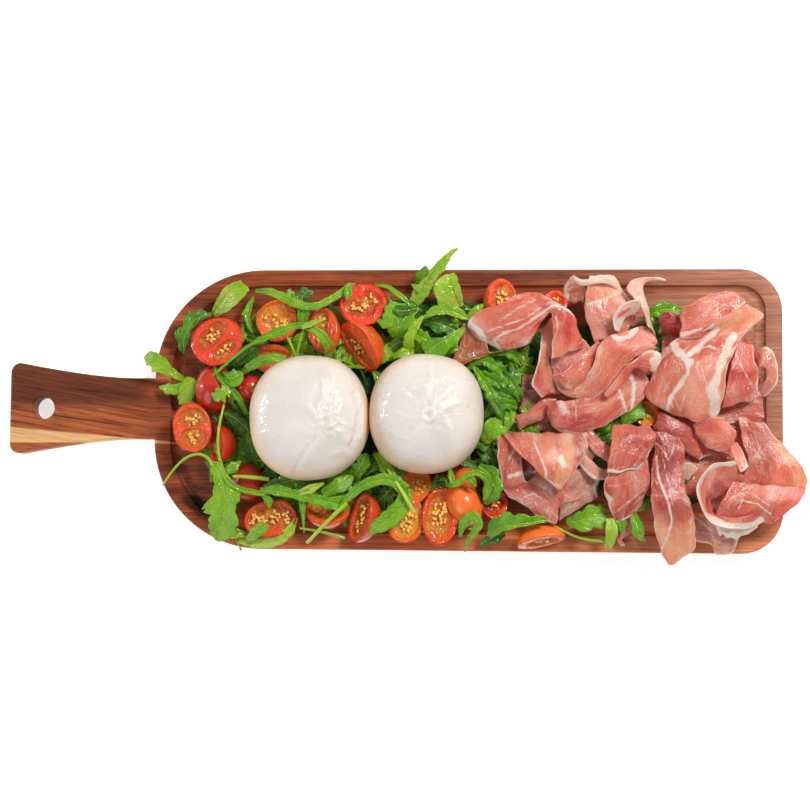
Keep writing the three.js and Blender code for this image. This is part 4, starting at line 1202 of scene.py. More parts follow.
def makeSlice(index, bow, look, stations, name, cured):
    stations = np.array(stations, dtype=float) * mm
    long = np.linalg.norm(np.diff(stations.reshape(-1, 2, 3).mean(axis=1), axis=0), axis=1).sum()
    wide = np.linalg.norm(stations[:, 3:] - stations[:, :3], axis=1).mean()
    rows = int(np.clip(long / ham["rowStep"], 24, 170))
    columns = int(np.clip(wide / ham["columnStep"], 12, 80))
    left, right = smoothLine(stations[:, :3], rows), smoothLine(stations[:, 3:], rows)
    middle = (left + right) / 2
    share = np.tile(np.linspace(0, 1, columns), (rows, 1))
    grid = left[:, None] * (1 - share[..., None]) + right[:, None] * share[..., None]
    grid[..., 2] += 4 * bow * mm * ham["bowShare"] * share * (1 - share)
    widths = np.linalg.norm(right - left, axis=1)[:, None]
    along = np.tile(lengths(middle)[:, None], (1, columns))
    across = (share - 0.5) * widths
    phase = np.random.default_rng(index).uniform(0, 6, 6)
    # how far each point rises: creases along and across, a slow drape, and waves at the edges
    drift = 1.2 * np.sin(along / (23 * mm) + phase[0])
    lift = ham["creases"] * sharp(across / ham["creaseWidth"] + drift + phase[1])
    lift *= 0.7 + 0.3 * np.sin(along / (17 * mm))
    crossing = along / ham["crossWidth"] + 1.5 * np.sin(across / ham["crossWidth"])
    lift += 0.5 * ham["creases"] * sharp(crossing + phase[2])
    lift += ham["drape"] * waves(grid.reshape(-1, 3), ham["drapeSize"], index + 20, 2).reshape(share.shape)
    lift *= np.minimum(1, widths / (14 * mm))
    toEdge = np.minimum(share, 1 - share) * widths
    side = np.where(share < 0.5, phase[3], phase[4])
    edge = hump(toEdge, ham["frillReach"]) * np.minimum(1, widths / (16 * mm))
    lift += ham["frill"] * edge * np.sin(along / (ham["frillLength"] + 0.4 * mm * side / 6) + side)
    # how far the edges and the ends are uneven
    outward = np.where(share < 0.5, -1, 1)[..., None] * (right - left)[:, None]
    outward = outward / np.maximum(widths, 1e-6)[..., None]
    teeth = np.sin(along / (3.1 * mm) + side) + 0.6 * np.sin(along / (1.3 * mm) + 2 * side)
    ragged = ham["raggedness"] * edge * teeth
    fat = fatOf(index, grid, share, along, widths, look)
    atEnds = hump(along, ham["endReach"]) - hump(along[-1] - along, ham["endReach"])
    atEnds *= ham["raggedEnds"] * np.sin(across / (3.7 * mm) + 2 * np.sin(across / (6 * mm)) + phase[5])
    ahead = np.gradient(middle, axis=0)
    ahead /= np.linalg.norm(ahead, axis=1)[:, None]
    grid = grid + gridNormals(grid) * lift[..., None] + outward * ragged[..., None]
    grid = grid + ahead[:, None] * atEnds[..., None]
    sheet = newSheet(name, grid, across + index * 0.4, along + index * 0.13)
    keep(sheet, "fat", fat)
    keep(sheet, "tone", np.full(fat.shape, look[0]))
    for kind, marks in tints.items():
        keep(sheet, kind, strokesOver(grid, [mark[1:] for mark in marks if index in mark[0]]))
    cover(sheet, cured)
    modify(sheet, "SOLIDIFY", thickness=ham["thickness"], offset=0, use_even_offset=False)
    smooth(sheet)
    return sheet


def curedHam():
    material = startMaterial("curedHam", Subsurface_Weight=0.45, Subsurface_Scale=0.004,
                             Subsurface_Radius=(1.0, 0.35, 0.25), Specular_IOR_Level=0.35)
    lay = node("UVMap", uv_map="lay").outputs[0]
    tone, fat, amber, clear = (carried(name) for name in ("tone", "fat", "amber", "clear"))

    def laid(along, across, detail=2, roughness=0.5, distortion=0.0):
        return grain(mapped(lay, (along, across, 1)), 1, detail, roughness, distortion)

    cloud = laid(34, 70, 4, 0.6, 0.5)
    muscle = ramp(cloud, [(0.36, (0.42, 0.046, 0.034)), (0.46, (0.62, 0.115, 0.082)),
                          (0.55, (0.73, 0.205, 0.150)), (0.66, (0.80, 0.350, 0.275))])
    flesh = mixed(mask(tone, 0.35, 0.0), muscle, (0.45, 0.045, 0.038))
    flesh = mixed(mask(tone, 0.35, 1.0), flesh, (0.70, 0.42, 0.36))
    # a pale veil over wide patches, and warmer ones
    veil = mask(laid(26, 34, 3, 0.6, 0.6), 0.46, 0.66)
    flesh = mixed(times(veil, 0.22), flesh, (0.76, 0.40, 0.34))
    warm = mask(laid(17, 26), 0.50, 0.68)
    flesh = mixed(times(warm, 0.4), flesh, (0.80, 0.27, 0.14))
    # thin creamy meat, with its own streaks
    cream = ramp(laid(60, 170, 3, 0.6, 0.4), [(0.35, (0.78, 0.31, 0.17)), (0.6, (0.88, 0.48, 0.30))])
    flesh = mixed(times(amber, 0.85), flesh, cream)
    web = laid(120, 150, 3, 0.65, 1.0)
    thin = ramp(web, [(0.40, (0.28, 0.095, 0.065)), (0.52, (0.42, 0.19, 0.14)), (0.64, (0.66, 0.41, 0.34))])
    flesh = mixed(times(clear, 0.85), flesh, thin)
    # painted shade: the deep tint darkens folds, hollows and tucked-under pieces, besides darker meat
    flesh = mixed(times(carried("deep"), 0.85), flesh, (0.24, 0.016, 0.014))
    flesh = mixed(times(carried("brown"), 0.85), flesh, (0.34, 0.105, 0.026))
    fibres = mask(laid(110, 700, 3, 0.6, 0.3), 0.50, 0.72)
    flesh = mixed(times(fibres, 0.25), flesh, (0.84, 0.44, 0.35))
    mottle = ramp(laid(520, 760, 3, 0.7), [(0.34, (0.80, 0.72, 0.70)), (0.60, (1.12, 1.12, 1.12))])
    flesh = mixed(0.5, flesh, mottle, "MULTIPLY")
    flesh = mixed(1.0, flesh, (1.0, 0.89, 0.85), "MULTIPLY")
    # veins run where a slow pattern crosses its middle value
    veins = 0.0
    for along, across, middle in ((22, 75, 0.52), (45, 62, 0.47), (75, 130, 0.53)):
        off = sums("ABSOLUTE", minus(laid(along, across, 3, 0.5, 0.8), middle))
        vein = times(mask(off, 0.013, 0.002), mask(laid(31, 19 + 30 * middle, 1), 0.48, 0.62))
        veins = sums("MAXIMUM", veins, vein)
    # fat at the edges and in streaks, with an uneven border
    ragged = times(minus(laid(160, 420, 3, 0.6), 0.5), 1.5)
    spread = plus(fat, ragged)
    rim = mask(spread, 0.42, 0.95)
    flesh = mixed(times(mask(spread, 0.15, 0.6), 0.55), flesh, (0.80, 0.46, 0.38))
    white = sums("MAXIMUM", times(rim, 0.92), times(veins, 0.5))
    lard = ramp(cloud, [(0.32, (0.72, 0.44, 0.35)), (0.5, (0.79, 0.59, 0.50)), (0.68, (0.84, 0.70, 0.63))])
    wet = mask(laid(50, 70), 0.40, 0.60)
    relief = plus(laid(260, 950, 3, 0.6), times(laid(620, 700, 2, 0.6), 1.2))
    relief = plus(relief, times(rim, 0.5))
    shade(Base_Color=mixed(white, flesh, lard), Roughness=minus(0.36, times(wet, 0.20)),
          Normal=bump(relief, 0.0005, 0.7), Coat_Weight=plus(times(wet, 0.7), 0.2), Coat_Roughness=0.08,
          Coat_Normal=bump(laid(280, 440), 0.0016))
    return material


cured = curedHam()
for index, (bow, look, stations) in enumerate(slices, 1):
    served = makeSlice(index, bow, look, stations, f"hamSlice{index:02d}", cured)
    serve(served, "ham", f"ham_{index:02d}")
for index, (bow, look, stations) in enumerate(scraps, 60):
    serve(makeSlice(index, bow, look, stations, f"hamScrap{index}", cured), "ham")
print("ham made")

# Rocket leaves: tone from dark to pale, ruffle, fold in degrees, the midrib in mm from base to tip, and
# the outline, which gives at shares of the length the half width to the left and to the right.
frilled = [(0, 0.9, 0.9), (0.3, 3, 2.4), (0.55, 2.7, 3), (0.8, 2.4, 2.1), (1, 0.5, 0.5)]
frilledWide = [(0, 0.9, 0.9), (0.3, 3.6, 2.9), (0.55, 3.3, 3.6), (0.8, 2.9, 2.5), (1, 0.5, 0.5)]
frilledNarrow = [(0, 0.9, 0.9), (0.3, 2.4, 1.9), (0.55, 2.2, 2.4), (0.8, 1.9, 1.7), (1, 0.5, 0.5)]


def oval(start, left, right, tip, widest=0.5):
    # a plain outline: half widths at the base, at the widest place to each side, and at the tip
    return [(0, start, start), (widest, left, right), (1, tip, tip)]


leaves = [
    (0.9, 0, 18, [(-110.2, 58.4, 22), (-103.5, 65.2, 28), (-97.2, 72.1, 32), (-90.9, 77.5, 33)],
        [(0, 1.2, 2.4), (0.25, 3, 6.6), (0.55, 3.6, 8.5), (0.8, 2.4, 7.9), (0.93, 1.2, 7.2),
        (1, 0.3, 4.8)]),
    (0.35, 1.2, 14, [(-129, 33.6, 20), (-126.7, 44.3, 26), (-120.2, 54, 28), (-110.4, 58.2, 24)],
        [(0, 0.6, 0.6), (0.15, 3.6, 2.4), (0.3, 4.8, 3), (0.45, 3.6, 1.8), (0.6, 4.8, 2.4), (0.8, 3.6, 1.8),
        (1, 0.6, 0.6)]),
    (0.8, 0.5, 8, [(-126, 16.1, 21), (-131.7, 19.9, 27), (-138.9, 24.7, 29), (-146.3, 29.2, 27),
        (-153.2, 31.5, 22)], [(0, 0.9, 0.9), (0.2, 1.8, 1.8), (0.4, 3, 2.4), (0.55, 5.4, 4.8),
        (0.66, 3.6, 3.6), (0.78, 4.2, 4.8), (0.9, 2.4, 3), (1, 0.6, 0.6)]),
    (0.75, 0.4, 8, [(-126.4, 16, 22), (-133.5, 11.5, 24), (-143.8, 13, 20)], [(0, 0.9, 0.9), (0.35, 3, 2.4),
        (0.65, 3, 3), (1, 0.6, 0.6)]),
    (0.8, 0.2, 6, [(-121.4, 18.2, 25), (-125.1, 10.2, 25), (-127.2, 1.8, 20)], [(0, 4.2, 3.6),
        (0.4, 4.8, 4.8), (0.8, 4.2, 4.2), (1, 3, 3)]),
    (0.62, 0.5, 20, [(-113.5, 14.8, 30), (-103.4, 21.5, 38), (-92.9, 29.7, 42), (-82.8, 36.9, 44),
        (-70.5, 43.5, 45), (-58.3, 47.7, 45), (-49.8, 48.3, 45), (-41.6, 45, 42), (-37, 40.4, 39),
        (-34.5, 34.8, 34), (-34.4, 30.3, 30)], [(0, 0.7, 0.7), (0.3, 0.8, 0.8), (0.36, 1.2, 2.4),
        (0.44, 1.8, 3.6), (0.5, 1.8, 1.8), (0.6, 2.1, 1.8), (0.7, 2.1, 2.4), (0.8, 2.4, 3), (0.92, 3, 4.2),
        (1, 1.8, 2.4)]),
    (0.9, 0.1, 14, [(-51.5, 47, 46), (-44.1, 49.9, 47), (-37, 52.6, 45)], oval(1.2, 1.6, 1.6, 0.4, 0.4)),
    (0.7, 0.4, 20, [(-83.3, 72.2, 26), (-73, 70.8, 32), (-63.6, 66.6, 36), (-53.3, 61.9, 39),
        (-43.4, 61.2, 39), (-33.9, 65.8, 37), (-25.8, 72.3, 34), (-20.3, 76.2, 28)], [(0, 0.9, 0.9),
        (0.12, 2.1, 1.8), (0.3, 2.7, 2.4), (0.5, 2.1, 2.2), (0.65, 2.1, 1.8), (0.8, 1.8, 1.8),
        (0.9, 2.1, 2.4), (1, 0.5, 0.5)]),
    (0.2, 0.8, 24, [(-52.9, 61.5, 37), (-52.2, 67.4, 34), (-49.1, 72.3, 30)], [(0, 1.8, 1.8),
        (0.4, 4.8, 4.2), (0.7, 3.6, 5.4), (1, 1.8, 2.4)]),
    (0.55, 0.5, 14, [(-55.9, 63.2, 38), (-59.3, 67.8, 36), (-61.3, 72.8, 31)], oval(1.2, 2.4, 2.4, 0.6)),
    (0.6, 0.5, 8, [(-52.2, 61.4, 38), (-51.6, 55.4, 37), (-51.5, 50.9, 33)], [(0, 1.8, 1.8), (0.4, 3.6, 3),
        (0.7, 2.4, 3.6), (1, 0.6, 0.9)]),
    (0.6, 0.3, 12, [(-23.7, 74.5, 36), (-24, 69.9, 38), (-24.6, 65, 38)], oval(1.8, 2.4, 2.4, 0.4)),
    (0.55, 0.5, 14, [(-84.4, 69.5, 23), (-86.7, 61.5, 27), (-87.1, 54.6, 28), (-84.5, 48.4, 28),
        (-80.4, 43.6, 26)], [(0, 0.6, 0.6), (0.2, 1.5, 1.8), (0.35, 1.5, 3.6), (0.45, 1.2, 1.8),
        (0.7, 1.5, 1.8), (1, 1.2, 1.2)]),
    (0.45, 0.5, 14, [(-107, 25.1, 32), (-103, 17.4, 36), (-96, 10.6, 37), (-90.2, 3.5, 34),
        (-86.8, -4.7, 28)], [(0, 0.9, 0.9), (0.3, 1.8, 1.2), (0.6, 2.1, 1.8), (1, 1.2, 1.2)]),
    (0.55, 0.6, 8, [(-103.6, 18.9, 33), (-95.4, 17.3, 37), (-88.3, 20.5, 36)], [(0, 1.8, 1.8),
        (0.4, 4.2, 4.2), (0.75, 3.6, 4.8), (1, 0.6, 0.6)]),
    (0.8, 0.5, 6, [(-95.8, 11.1, 38), (-100.3, 7.9, 40), (-105.5, 3.7, 38)], [(0, 1.2, 1.2),
        (0.2, 4.2, 3.6), (0.35, 1.8, 1.8), (0.55, 5.4, 4.8), (0.7, 2.4, 2.4), (0.85, 3, 3.6),
        (1, 0.6, 0.6)]),
    (0.6, 0.4, 20, [(-90.6, 20.4, 30), (-82.6, 25.3, 37), (-72.3, 28.7, 40), (-61.6, 28.9, 38)],
        [(0, 1.2, 1.2), (0.3, 2.4, 3), (0.6, 2.7, 2.4), (0.85, 2.4, 2.1), (1, 1.8, 1.8)]),
    (0.7, 0.4, 10, [(-87.3, 8, 30), (-84.5, 11.6, 32), (-81.8, 14.2, 30)], oval(1.2, 2.7, 2.7, 0.6)),
    (0.3, 0.8, 14, [(-97, 26.3, 26), (-88.9, 31.5, 30), (-79.9, 35.6, 32)], [(0, 1.8, 1.8), (0.4, 4.2, 4.8),
        (0.8, 3.6, 4.2), (1, 1.2, 1.2)]),
    (0.35, 0.6, 14, [(-88.5, 43, 26), (-80.3, 40.1, 30), (-72.8, 38.3, 30)], oval(1.8, 3.6, 3, 1.2)),
    (0.15, 0.8, 14, [(-101.1, -3, 28), (-93.2, -7.4, 30), (-86.2, -14.5, 27)], [(0, 1.2, 1.2),
        (0.3, 3, 3.6), (0.7, 3.6, 3.6), (1, 1.2, 1.2)]),
    (0.35, 0.8, 14, [(-88, -12.5, 24), (-85.2, -23.7, 25), (-80.8, -35.9, 24)], [(0, 1.8, 1.8),
        (0.3, 4.2, 3.6), (0.6, 3.6, 4.2), (1, 1.2, 1.2)]),
    (0.3, 0.8, 14, [(-95.7, 2.3, 24), (-90.4, -6.4, 25), (-88.3, -17.4, 22)], oval(1.8, 3.6, 3.6, 1.2)),
    (0.75, 0.3, 8, [(-107.3, -34, 35), (-101.3, -41.9, 37), (-98.7, -51, 37), (-98.3, -60.7, 35),
        (-100.7, -71.1, 31), (-105, -82.2, 24)], [(0, 1.2, 1.2), (0.08, 3.6, 3), (0.2, 3.6, 4.2),
        (0.32, 5.4, 4.8), (0.42, 9.1, 6.6), (0.48, 8.5, 10.3), (0.55, 5.4, 12.1), (0.64, 6.6, 10.3),
        (0.72, 8.5, 7.2), (0.85, 7.9, 6.6), (0.93, 5.4, 4.8), (1, 0.9, 0.9)]),
    (0.6, 0.4, 8, [(-100.2, -41.3, 36), (-93.6, -37.7, 39), (-88.5, -33.3, 37)], oval(1.2, 3, 3, 0.6)),
    (0.6, 0.4, 22, [(-100.9, -39.5, 36), (-95.5, -46.8, 38), (-86.8, -51, 38), (-78.2, -52.7, 38),
        (-72.2, -53.9, 37)], [(0, 0.9, 0.9), (0.3, 1.5, 1.2), (0.6, 1.8, 1.4), (1, 1.2, 1.2)]),
    (0.6, 0.4, 8, [(-75.3, -52.7, 37), (-71.6, -56.9, 37), (-71.4, -62.3, 34)], oval(1.2, 2.4, 2.4, 0.5)),
    (0.6, 0.5, 14, [(-76.6, -50.9, 37), (-63.8, -52, 40), (-51.5, -54.4, 41), (-39.3, -56.7, 41),
        (-28.6, -59, 39), (-22.3, -60.7, 35)], [(0, 1.2, 1.2), (0.08, 2.4, 1.8), (0.2, 4.2, 2.4),
        (0.3, 2.4, 1.8), (0.42, 4.2, 2.4), (0.55, 2.4, 3), (0.7, 3, 3.6), (0.82, 4.8, 3.6), (0.93, 3.6, 3),
        (1, 0.6, 0.6)]),
    (0.6, 0.1, 10, [(-50.4, -54.3, 40), (-49.8, -64, 39), (-49.4, -76.7, 36)], [(0, 1.8, 1.8),
        (0.3, 1.8, 1.8), (0.6, 1, 1), (1, 0.2, 0.2)]),
    (0.92, 0.2, 14, [(-53.3, -53.2, 41), (-45.3, -50.1, 42), (-37.1, -46.4, 40)], oval(1.2, 2.4, 2.7, 0.5)),
    (0.42, 0.6, 14, [(-74.8, -49, 33), (-62.1, -45.9, 36), (-48.8, -44, 35), (-37.4, -43.7, 28)],
        [(0, 1.2, 1.2), (0.3, 4.2, 4.2), (0.6, 3.6, 4.8), (1, 1.2, 1.2)]),
    (0.6, 0.5, 12, [(-39, -53, 34), (-29.1, -48.1, 36), (-20.5, -41.8, 31)], [(0, 1.8, 1.8),
        (0.4, 4.2, 4.2), (0.8, 3, 3.6), (1, 0.6, 0.6)]),
    (1, 0.2, 10, [(-93.2, -82.1, 24), (-81.3, -83.1, 28), (-69.7, -81.8, 31), (-60.4, -76.8, 32),
        (-54.6, -67.6, 31)], [(0, 0.6, 0.6), (0.25, 2.7, 3), (0.5, 3.3, 3.6), (0.8, 2.4, 2.7),
        (1, 0.6, 0.6)]),
    (0.7, 0.5, 10, [(-99.7, -79.1, 26), (-93.6, -77.1, 29), (-86.9, -78.3, 28)], oval(1.2, 3, 3.3, 1.2)),
    (0.7, 0.5, 12, [(-86.4, -82, 27), (-79, -76.9, 35), (-71.8, -71.4, 38)], [(0, 1.2, 1.2), (0.4, 3.3, 3),
        (0.8, 3, 3), (1, 0.6, 0.6)]),
    (0.6, 0.3, 16, [(-27.2, -61.4, 40), (-20.9, -54.2, 43), (-12.9, -48.1, 45), (-3.8, -44.5, 46),
        (5.2, -45, 46), (11.8, -50.3, 45)], [(0, 0.9, 0.9), (0.25, 2.4, 2.4), (0.6, 3, 3), (0.85, 3.6, 3),
        (1, 3.6, 3)]),
    (0.68, 0.2, 8, [(13, -49.1, 45), (11.8, -57.5, 44), (6.3, -64.7, 43), (-1.6, -70.8, 41),
        (-11, -75.1, 37)], [(0, 3, 3), (0.25, 4.2, 4.8), (0.6, 4.8, 4.8), (0.9, 3, 3), (1, 1.2, 1.2)]),
    (0.78, 0.2, 18, [(-5.9, -27.2, 32), (-1.1, -35.2, 37), (4.3, -43.8, 43), (8.9, -49.8, 46)],
        [(0, 2.4, 2.4), (0.4, 3.6, 3), (0.8, 3, 2.4), (1, 1.2, 1.2)]),
    (0.45, 0.9, 14, [(-21.7, -44.2, 26), (-16.1, -36.4, 33), (-11.9, -27.9, 33)], [(0, 1.8, 1.8),
        (0.3, 4.8, 4.2), (0.5, 3, 3), (0.7, 4.2, 4.8), (1, 0.6, 0.6)]),
    (0.35, 0.9, 14, [(-14.1, -40.5, 28), (-8.4, -34.5, 31), (-3.6, -30.8, 30)], oval(1.8, 3.6, 4.2, 1.2)),
    (0.65, 0.3, 16, [(47.6, -87.3, 24), (49.7, -80.6, 32), (53.5, -75.7, 36), (56, -70.8, 39),
        (54.8, -66.7, 40), (50.5, -66.7, 39), (46.8, -71.5, 36), (44.9, -78.2, 32)], [(0, 0.6, 0.6),
        (0.2, 1.5, 1.5), (0.4, 2.4, 2.4), (0.6, 2.4, 2.7), (0.8, 2.4, 3), (1, 0.6, 0.6)]),
    (0.62, 0.3, 16, [(37.1, -47, 38), (42.8, -46.5, 42), (48.2, -42.3, 44), (53.6, -39.9, 44),
        (58.3, -41, 43), (61.8, -45.1, 40), (61.2, -51, 37), (59.3, -56.4, 34)], [(0, 0.9, 0.9),
        (0.15, 1.8, 1.8), (0.3, 1.5, 1.5), (0.5, 1.6, 1.6), (0.7, 2.1, 2.1), (0.85, 2.4, 2.4),
        (1, 0.6, 0.6)]),
    (0.62, 0.3, 10, [(40.9, -46.5, 41), (39.7, -41.7, 41), (38.9, -36.2, 38)], oval(1.2, 1.8, 1.8, 0.4)),
    (0.6, 0.3, 10, [(49.4, -42.3, 43), (52.4, -44.6, 43), (54.7, -48.2, 41)], oval(1.2, 2.1, 2.1, 0.5)),
    (0.5, 0.5, 14, [(56.1, -34.7, 33), (62.9, -40.8, 36), (64.1, -49.8, 36), (59.2, -58.2, 30)],
        [(0, 1.2, 1.2), (0.3, 4.8, 4.2), (0.65, 5.4, 4.2), (1, 1.2, 1.2)]),
    (0.6, 0.5, 18, [(62.3, -78.1, 28), (69, -72.5, 34), (81, -70, 37), (96.6, -67.5, 35)], [(0, 1.2, 1.2),
        (0.2, 5.4, 2.4), (0.4, 7.2, 2.4), (0.6, 5.4, 1.8), (1, 1.8, 1.2)]),
    (0.25, 0.8, 14, [(56.6, -83, 22), (64, -78.7, 26), (71.9, -76.2, 26)], oval(1.2, 3.6, 3.6, 1.2)),
    (0.62, 0.6, 12, [(108.6, -68, 26), (115.8, -67.9, 30), (124.1, -64.9, 30), (132.6, -62.4, 28)],
        [(0, 1.2, 1.2), (0.3, 4.2, 5.4), (0.6, 5.4, 7.2), (0.85, 4.8, 6), (1, 1.8, 1.8)]),
    (0.9, 0.2, 14, [(134.8, -66, 31), (135.4, -74.3, 33), (133.8, -84, 28)], oval(2.4, 3.6, 3, 1.8)),
    (0.6, 0.5, 14, [(139.2, -63.5, 28), (140.9, -68.9, 30), (142.8, -75.5, 27)], oval(1.2, 3, 3, 0.6)),
    (0.62, 0.4, 14, [(148.7, -62.8, 28), (150.9, -70.6, 31), (152.9, -76.6, 28), (156.8, -80.2, 22)],
        [(0, 1.8, 1.8), (0.4, 3.6, 3.6), (0.7, 1.8, 1.8), (1, 0.4, 0.4)]),
    (0.5, 0.7, 14, [(150.6, -61, 26), (155.2, -58, 29), (160.2, -55.5, 26)], oval(1.2, 3, 3, 0.6)),
    (0.85, 0.3, 22, [(15.7, 63.5, 30), (22.2, 72.4, 37), (27.4, 78.9, 43), (33.1, 85, 47), (38.5, 91.5, 48),
        (43.2, 95.4, 46)], [(0, 3.6, 3), (0.15, 4.2, 4.2), (0.28, 2.7, 3.6), (0.4, 2.4, 3), (0.5, 3, 3),
        (0.62, 2.4, 3), (0.8, 1.6, 1.6), (1, 0.4, 0.4)]),
    (0.7, 0.2, 10, [(20.4, 70.6, 37), (17.4, 73, 37), (14.2, 75.2, 35)], oval(1.2, 1.6, 1.6, 0.2)),
    (0.6, 0.3, 10, [(26.2, 78.3, 43), (29.8, 80.7, 43), (35.8, 83.3, 42)], [(0, 1.8, 1.2), (0.5, 1.8, 2.4),
        (1, 0.3, 0.3)]),
    (0.9, 0.2, 8, [(43.7, 61.5, 26), (40.2, 69.4, 32), (37.9, 76.9, 35), (37.2, 81.4, 34)], [(0, 8.5, 2.4),
        (0.3, 10.3, 4.2), (0.6, 7.9, 4.2), (0.85, 4.2, 3.6), (1, 1.8, 3)]),
    (0.5, 0.6, 14, [(18.2, 76.7, 24), (20.3, 81, 28), (24.6, 84.7, 28)], oval(1.8, 3.6, 3.6, 2.4)),
    (0.7, 0.3, 16, [(-9.2, 75.6, 28), (-0.3, 73.9, 31), (6.7, 68.7, 33), (13.3, 63.4, 31)], [(0, 0.7, 0.7),
        (0.5, 1.3, 1.2), (0.8, 1.8, 1.4), (1, 0.6, 0.6)]),
    (0.6, 0.3, 6, [(5.8, 42.3, 27), (6.4, 48.9, 34), (7.1, 56.1, 36), (7.7, 64.2, 30)], [(0, 2.4, 2.4),
        (0.15, 5.4, 6.6), (0.4, 7.9, 8.5), (0.6, 8.5, 9.1), (0.85, 7.2, 9.1), (1, 5.4, 7.2)]),
    (0.62, 0.4, 8, [(4, 51.9, 35), (-1.4, 51.2, 36), (-6.6, 53.4, 33)], oval(1.8, 3, 3, 0.6)),
    (0.25, 0.5, 24, [(4.1, 59.6, 37), (10.2, 58.4, 37), (18, 60.3, 36)], oval(1.8, 3.6, 3, 1.2, 0.4)),
    (0.82, 0.3, 16, [(21.8, 55.2, 38), (17.2, 48.9, 40), (14.1, 41.8, 38), (12.4, 34, 31)], [(0, 0.6, 0.6),
        (0.3, 2.7, 2.4), (0.6, 2.4, 3), (0.85, 3, 3), (1, 1.2, 1.2)]),
    (0.72, 0.4, 14, [(22.3, 54.2, 36), (29.8, 58.1, 39), (38.9, 58.1, 39), (49.6, 53.7, 35)],
        [(0, 0.6, 0.6), (0.3, 3, 2.4), (0.6, 3.6, 2.4), (0.85, 2.4, 2.4), (1, 0.6, 0.6)]),
    (0.25, 0.6, 14, [(21.9, 53.7, 30), (31.9, 50.9, 33), (42.8, 46.8, 31)], [(0, 2.4, 2.4), (0.4, 4.8, 4.8),
        (0.8, 3.6, 3.6), (1, 1.2, 1.2)]),
    (0.62, 0.3, 10, [(47.3, 48.1, 36), (39.5, 43, 38), (31, 38.3, 37), (22.3, 33.8, 33)], [(0, 1.2, 1.2),
        (0.25, 3.6, 1.5), (0.5, 6.6, 1.8), (0.75, 7.2, 4.8), (0.9, 4.8, 5.4), (1, 1.8, 1.8)]),
    (0.62, 0.5, 14, [(12.2, 47.6, 30), (20.4, 42.9, 33), (25.9, 41.1, 33)], oval(2.4, 4.2, 3.6, 1.2)),
    (0.85, 0.3, 8, [(2.5, 31, 30), (9.5, 33.1, 33), (16, 34.1, 30)], oval(1.2, 3, 3, 1.2)),
    (0.75, 0.2, 12, [(48.4, 54.4, 34), (53.9, 59.1, 36), (59.2, 63.1, 33)], oval(1.2, 2.2, 2.2, 0.5)),
    (0.12, 0.5, 14, [(42.9, 65.5, 24), (48.6, 62.1, 26), (54.6, 58.1, 24)], oval(1.2, 3, 3, 0.6)),
    (0.3, 0.6, 14, [(-1.1, 34.6, 24), (5.9, 39.8, 28), (13.3, 40.4, 28)], oval(1.8, 3.6, 3.6, 1.2)),
    (0.5, 0.5, 14, [(14.4, 34.4, 26), (19.7, 37, 31), (24.4, 34.9, 28)], oval(1.8, 3.6, 3.6, 1.2)),
    (0.45, 0.6, 14, [(31.7, 31.9, 27), (38, 37.6, 32), (42.8, 43.8, 31)], oval(1.8, 4.8, 4.2, 1.2)),
    (0.5, 0.9, 20, [(47.6, 23.5, 25), (56.2, 28.7, 29), (65.4, 25.6, 30), (74.4, 19.9, 25)], frilled),
    (0.45, 0.9, 20, [(50.1, 12.4, 26.6), (58.8, 18.2, 30.6), (68.5, 14.5, 31.6), (76.9, 10, 26.6)],
        frilledWide),
    (0.3, 0.9, 20, [(56.3, 3.7, 28.2), (63.7, 9.6, 32.2), (71.6, 8.3, 33.2), (78.2, 5.6, 28.2)],
        frilledWide),
    (0.4, 0.9, 20, [(58.9, -6.1, 29.8), (65, 0.4, 33.8), (72.3, 2.1, 34.8), (79.4, 0.1, 29.8)],
        frilledWide),
    (0.62, 0.9, 20, [(52.1, 25.4, 31.4), (58.9, 15.4, 35.4), (63.8, 6.8, 36.4), (66.2, -2.5, 31.4)],
        frilled),
    (0.5, 0.9, 20, [(60.9, 30.9, 25), (68.3, 34.8, 29), (75.7, 32.9, 30), (81.7, 26, 25)], frilled),
    (0.4, 0.9, 20, [(66.5, 22.2, 26.6), (73.3, 18.2, 30.6), (78.2, 10.9, 31.6), (80.6, 3.9, 26.6)],
        frilled),
    (0.55, 0.9, 20, [(63.6, 17.2, 28.2), (66.7, 8.4, 32.2), (68.6, -0.2, 33.2), (67.3, -7.2, 28.2)],
        frilled),
    (0.55, 0.9, 20, [(46.5, 31.7, 20), (55.1, 33.7, 22), (62.4, 34.9, 22), (70.8, 37.8, 20)], frilled),
    (0.35, 0.9, 20, [(55.2, 9.6, 31.4), (62.6, 5.7, 35.4), (68.7, -2.8, 36.4), (71, -9.8, 31.4)],
        frilledNarrow),
    (0.3, 0.9, 20, [(73.1, 32.2, 25), (76.9, 23.2, 29), (75.7, 14.6, 30), (72, 7.7, 25)], frilled),
    (0.6, 0.9, 20, [(58.6, 24.6, 26.6), (66, 20.6, 30.6), (72.1, 13.3, 31.6), (74.5, 5.1, 26.6)],
        frilledNarrow),
    (0.35, 0.9, 20, [(68.3, 38, 28.2), (74.5, 40, 32.2), (81.7, 41.1, 33.2), (87.7, 40.4, 28.2)], frilled),
    (0.6, 0.9, 20, [(71, 2.5, 29.8), (73.5, -3.8, 33.8), (73.5, -9.9, 34.8), (69.8, -15.8, 29.8)],
        frilledNarrow),
    (0.7, 0.4, 8, [(58.3, -20.6, 28), (63.9, -14.2, 34), (72.9, -6.8, 33)], [(0, 2.4, 2.4),
        (0.35, 5.4, 5.4), (0.7, 5.4, 5.4), (1, 1.8, 1.8)]),
    (0.88, 0.3, 10, [(71.7, -13.4, 31), (74.1, -8, 33), (77.6, -2.4, 30)], oval(1.2, 2.4, 2.4, 0.6)),
    (0.2, 0.7, 14, [(55.1, -24.1, 24), (61.3, -29, 27), (66.2, -37.5, 25)], oval(1.8, 4.2, 4.2, 1.2)),
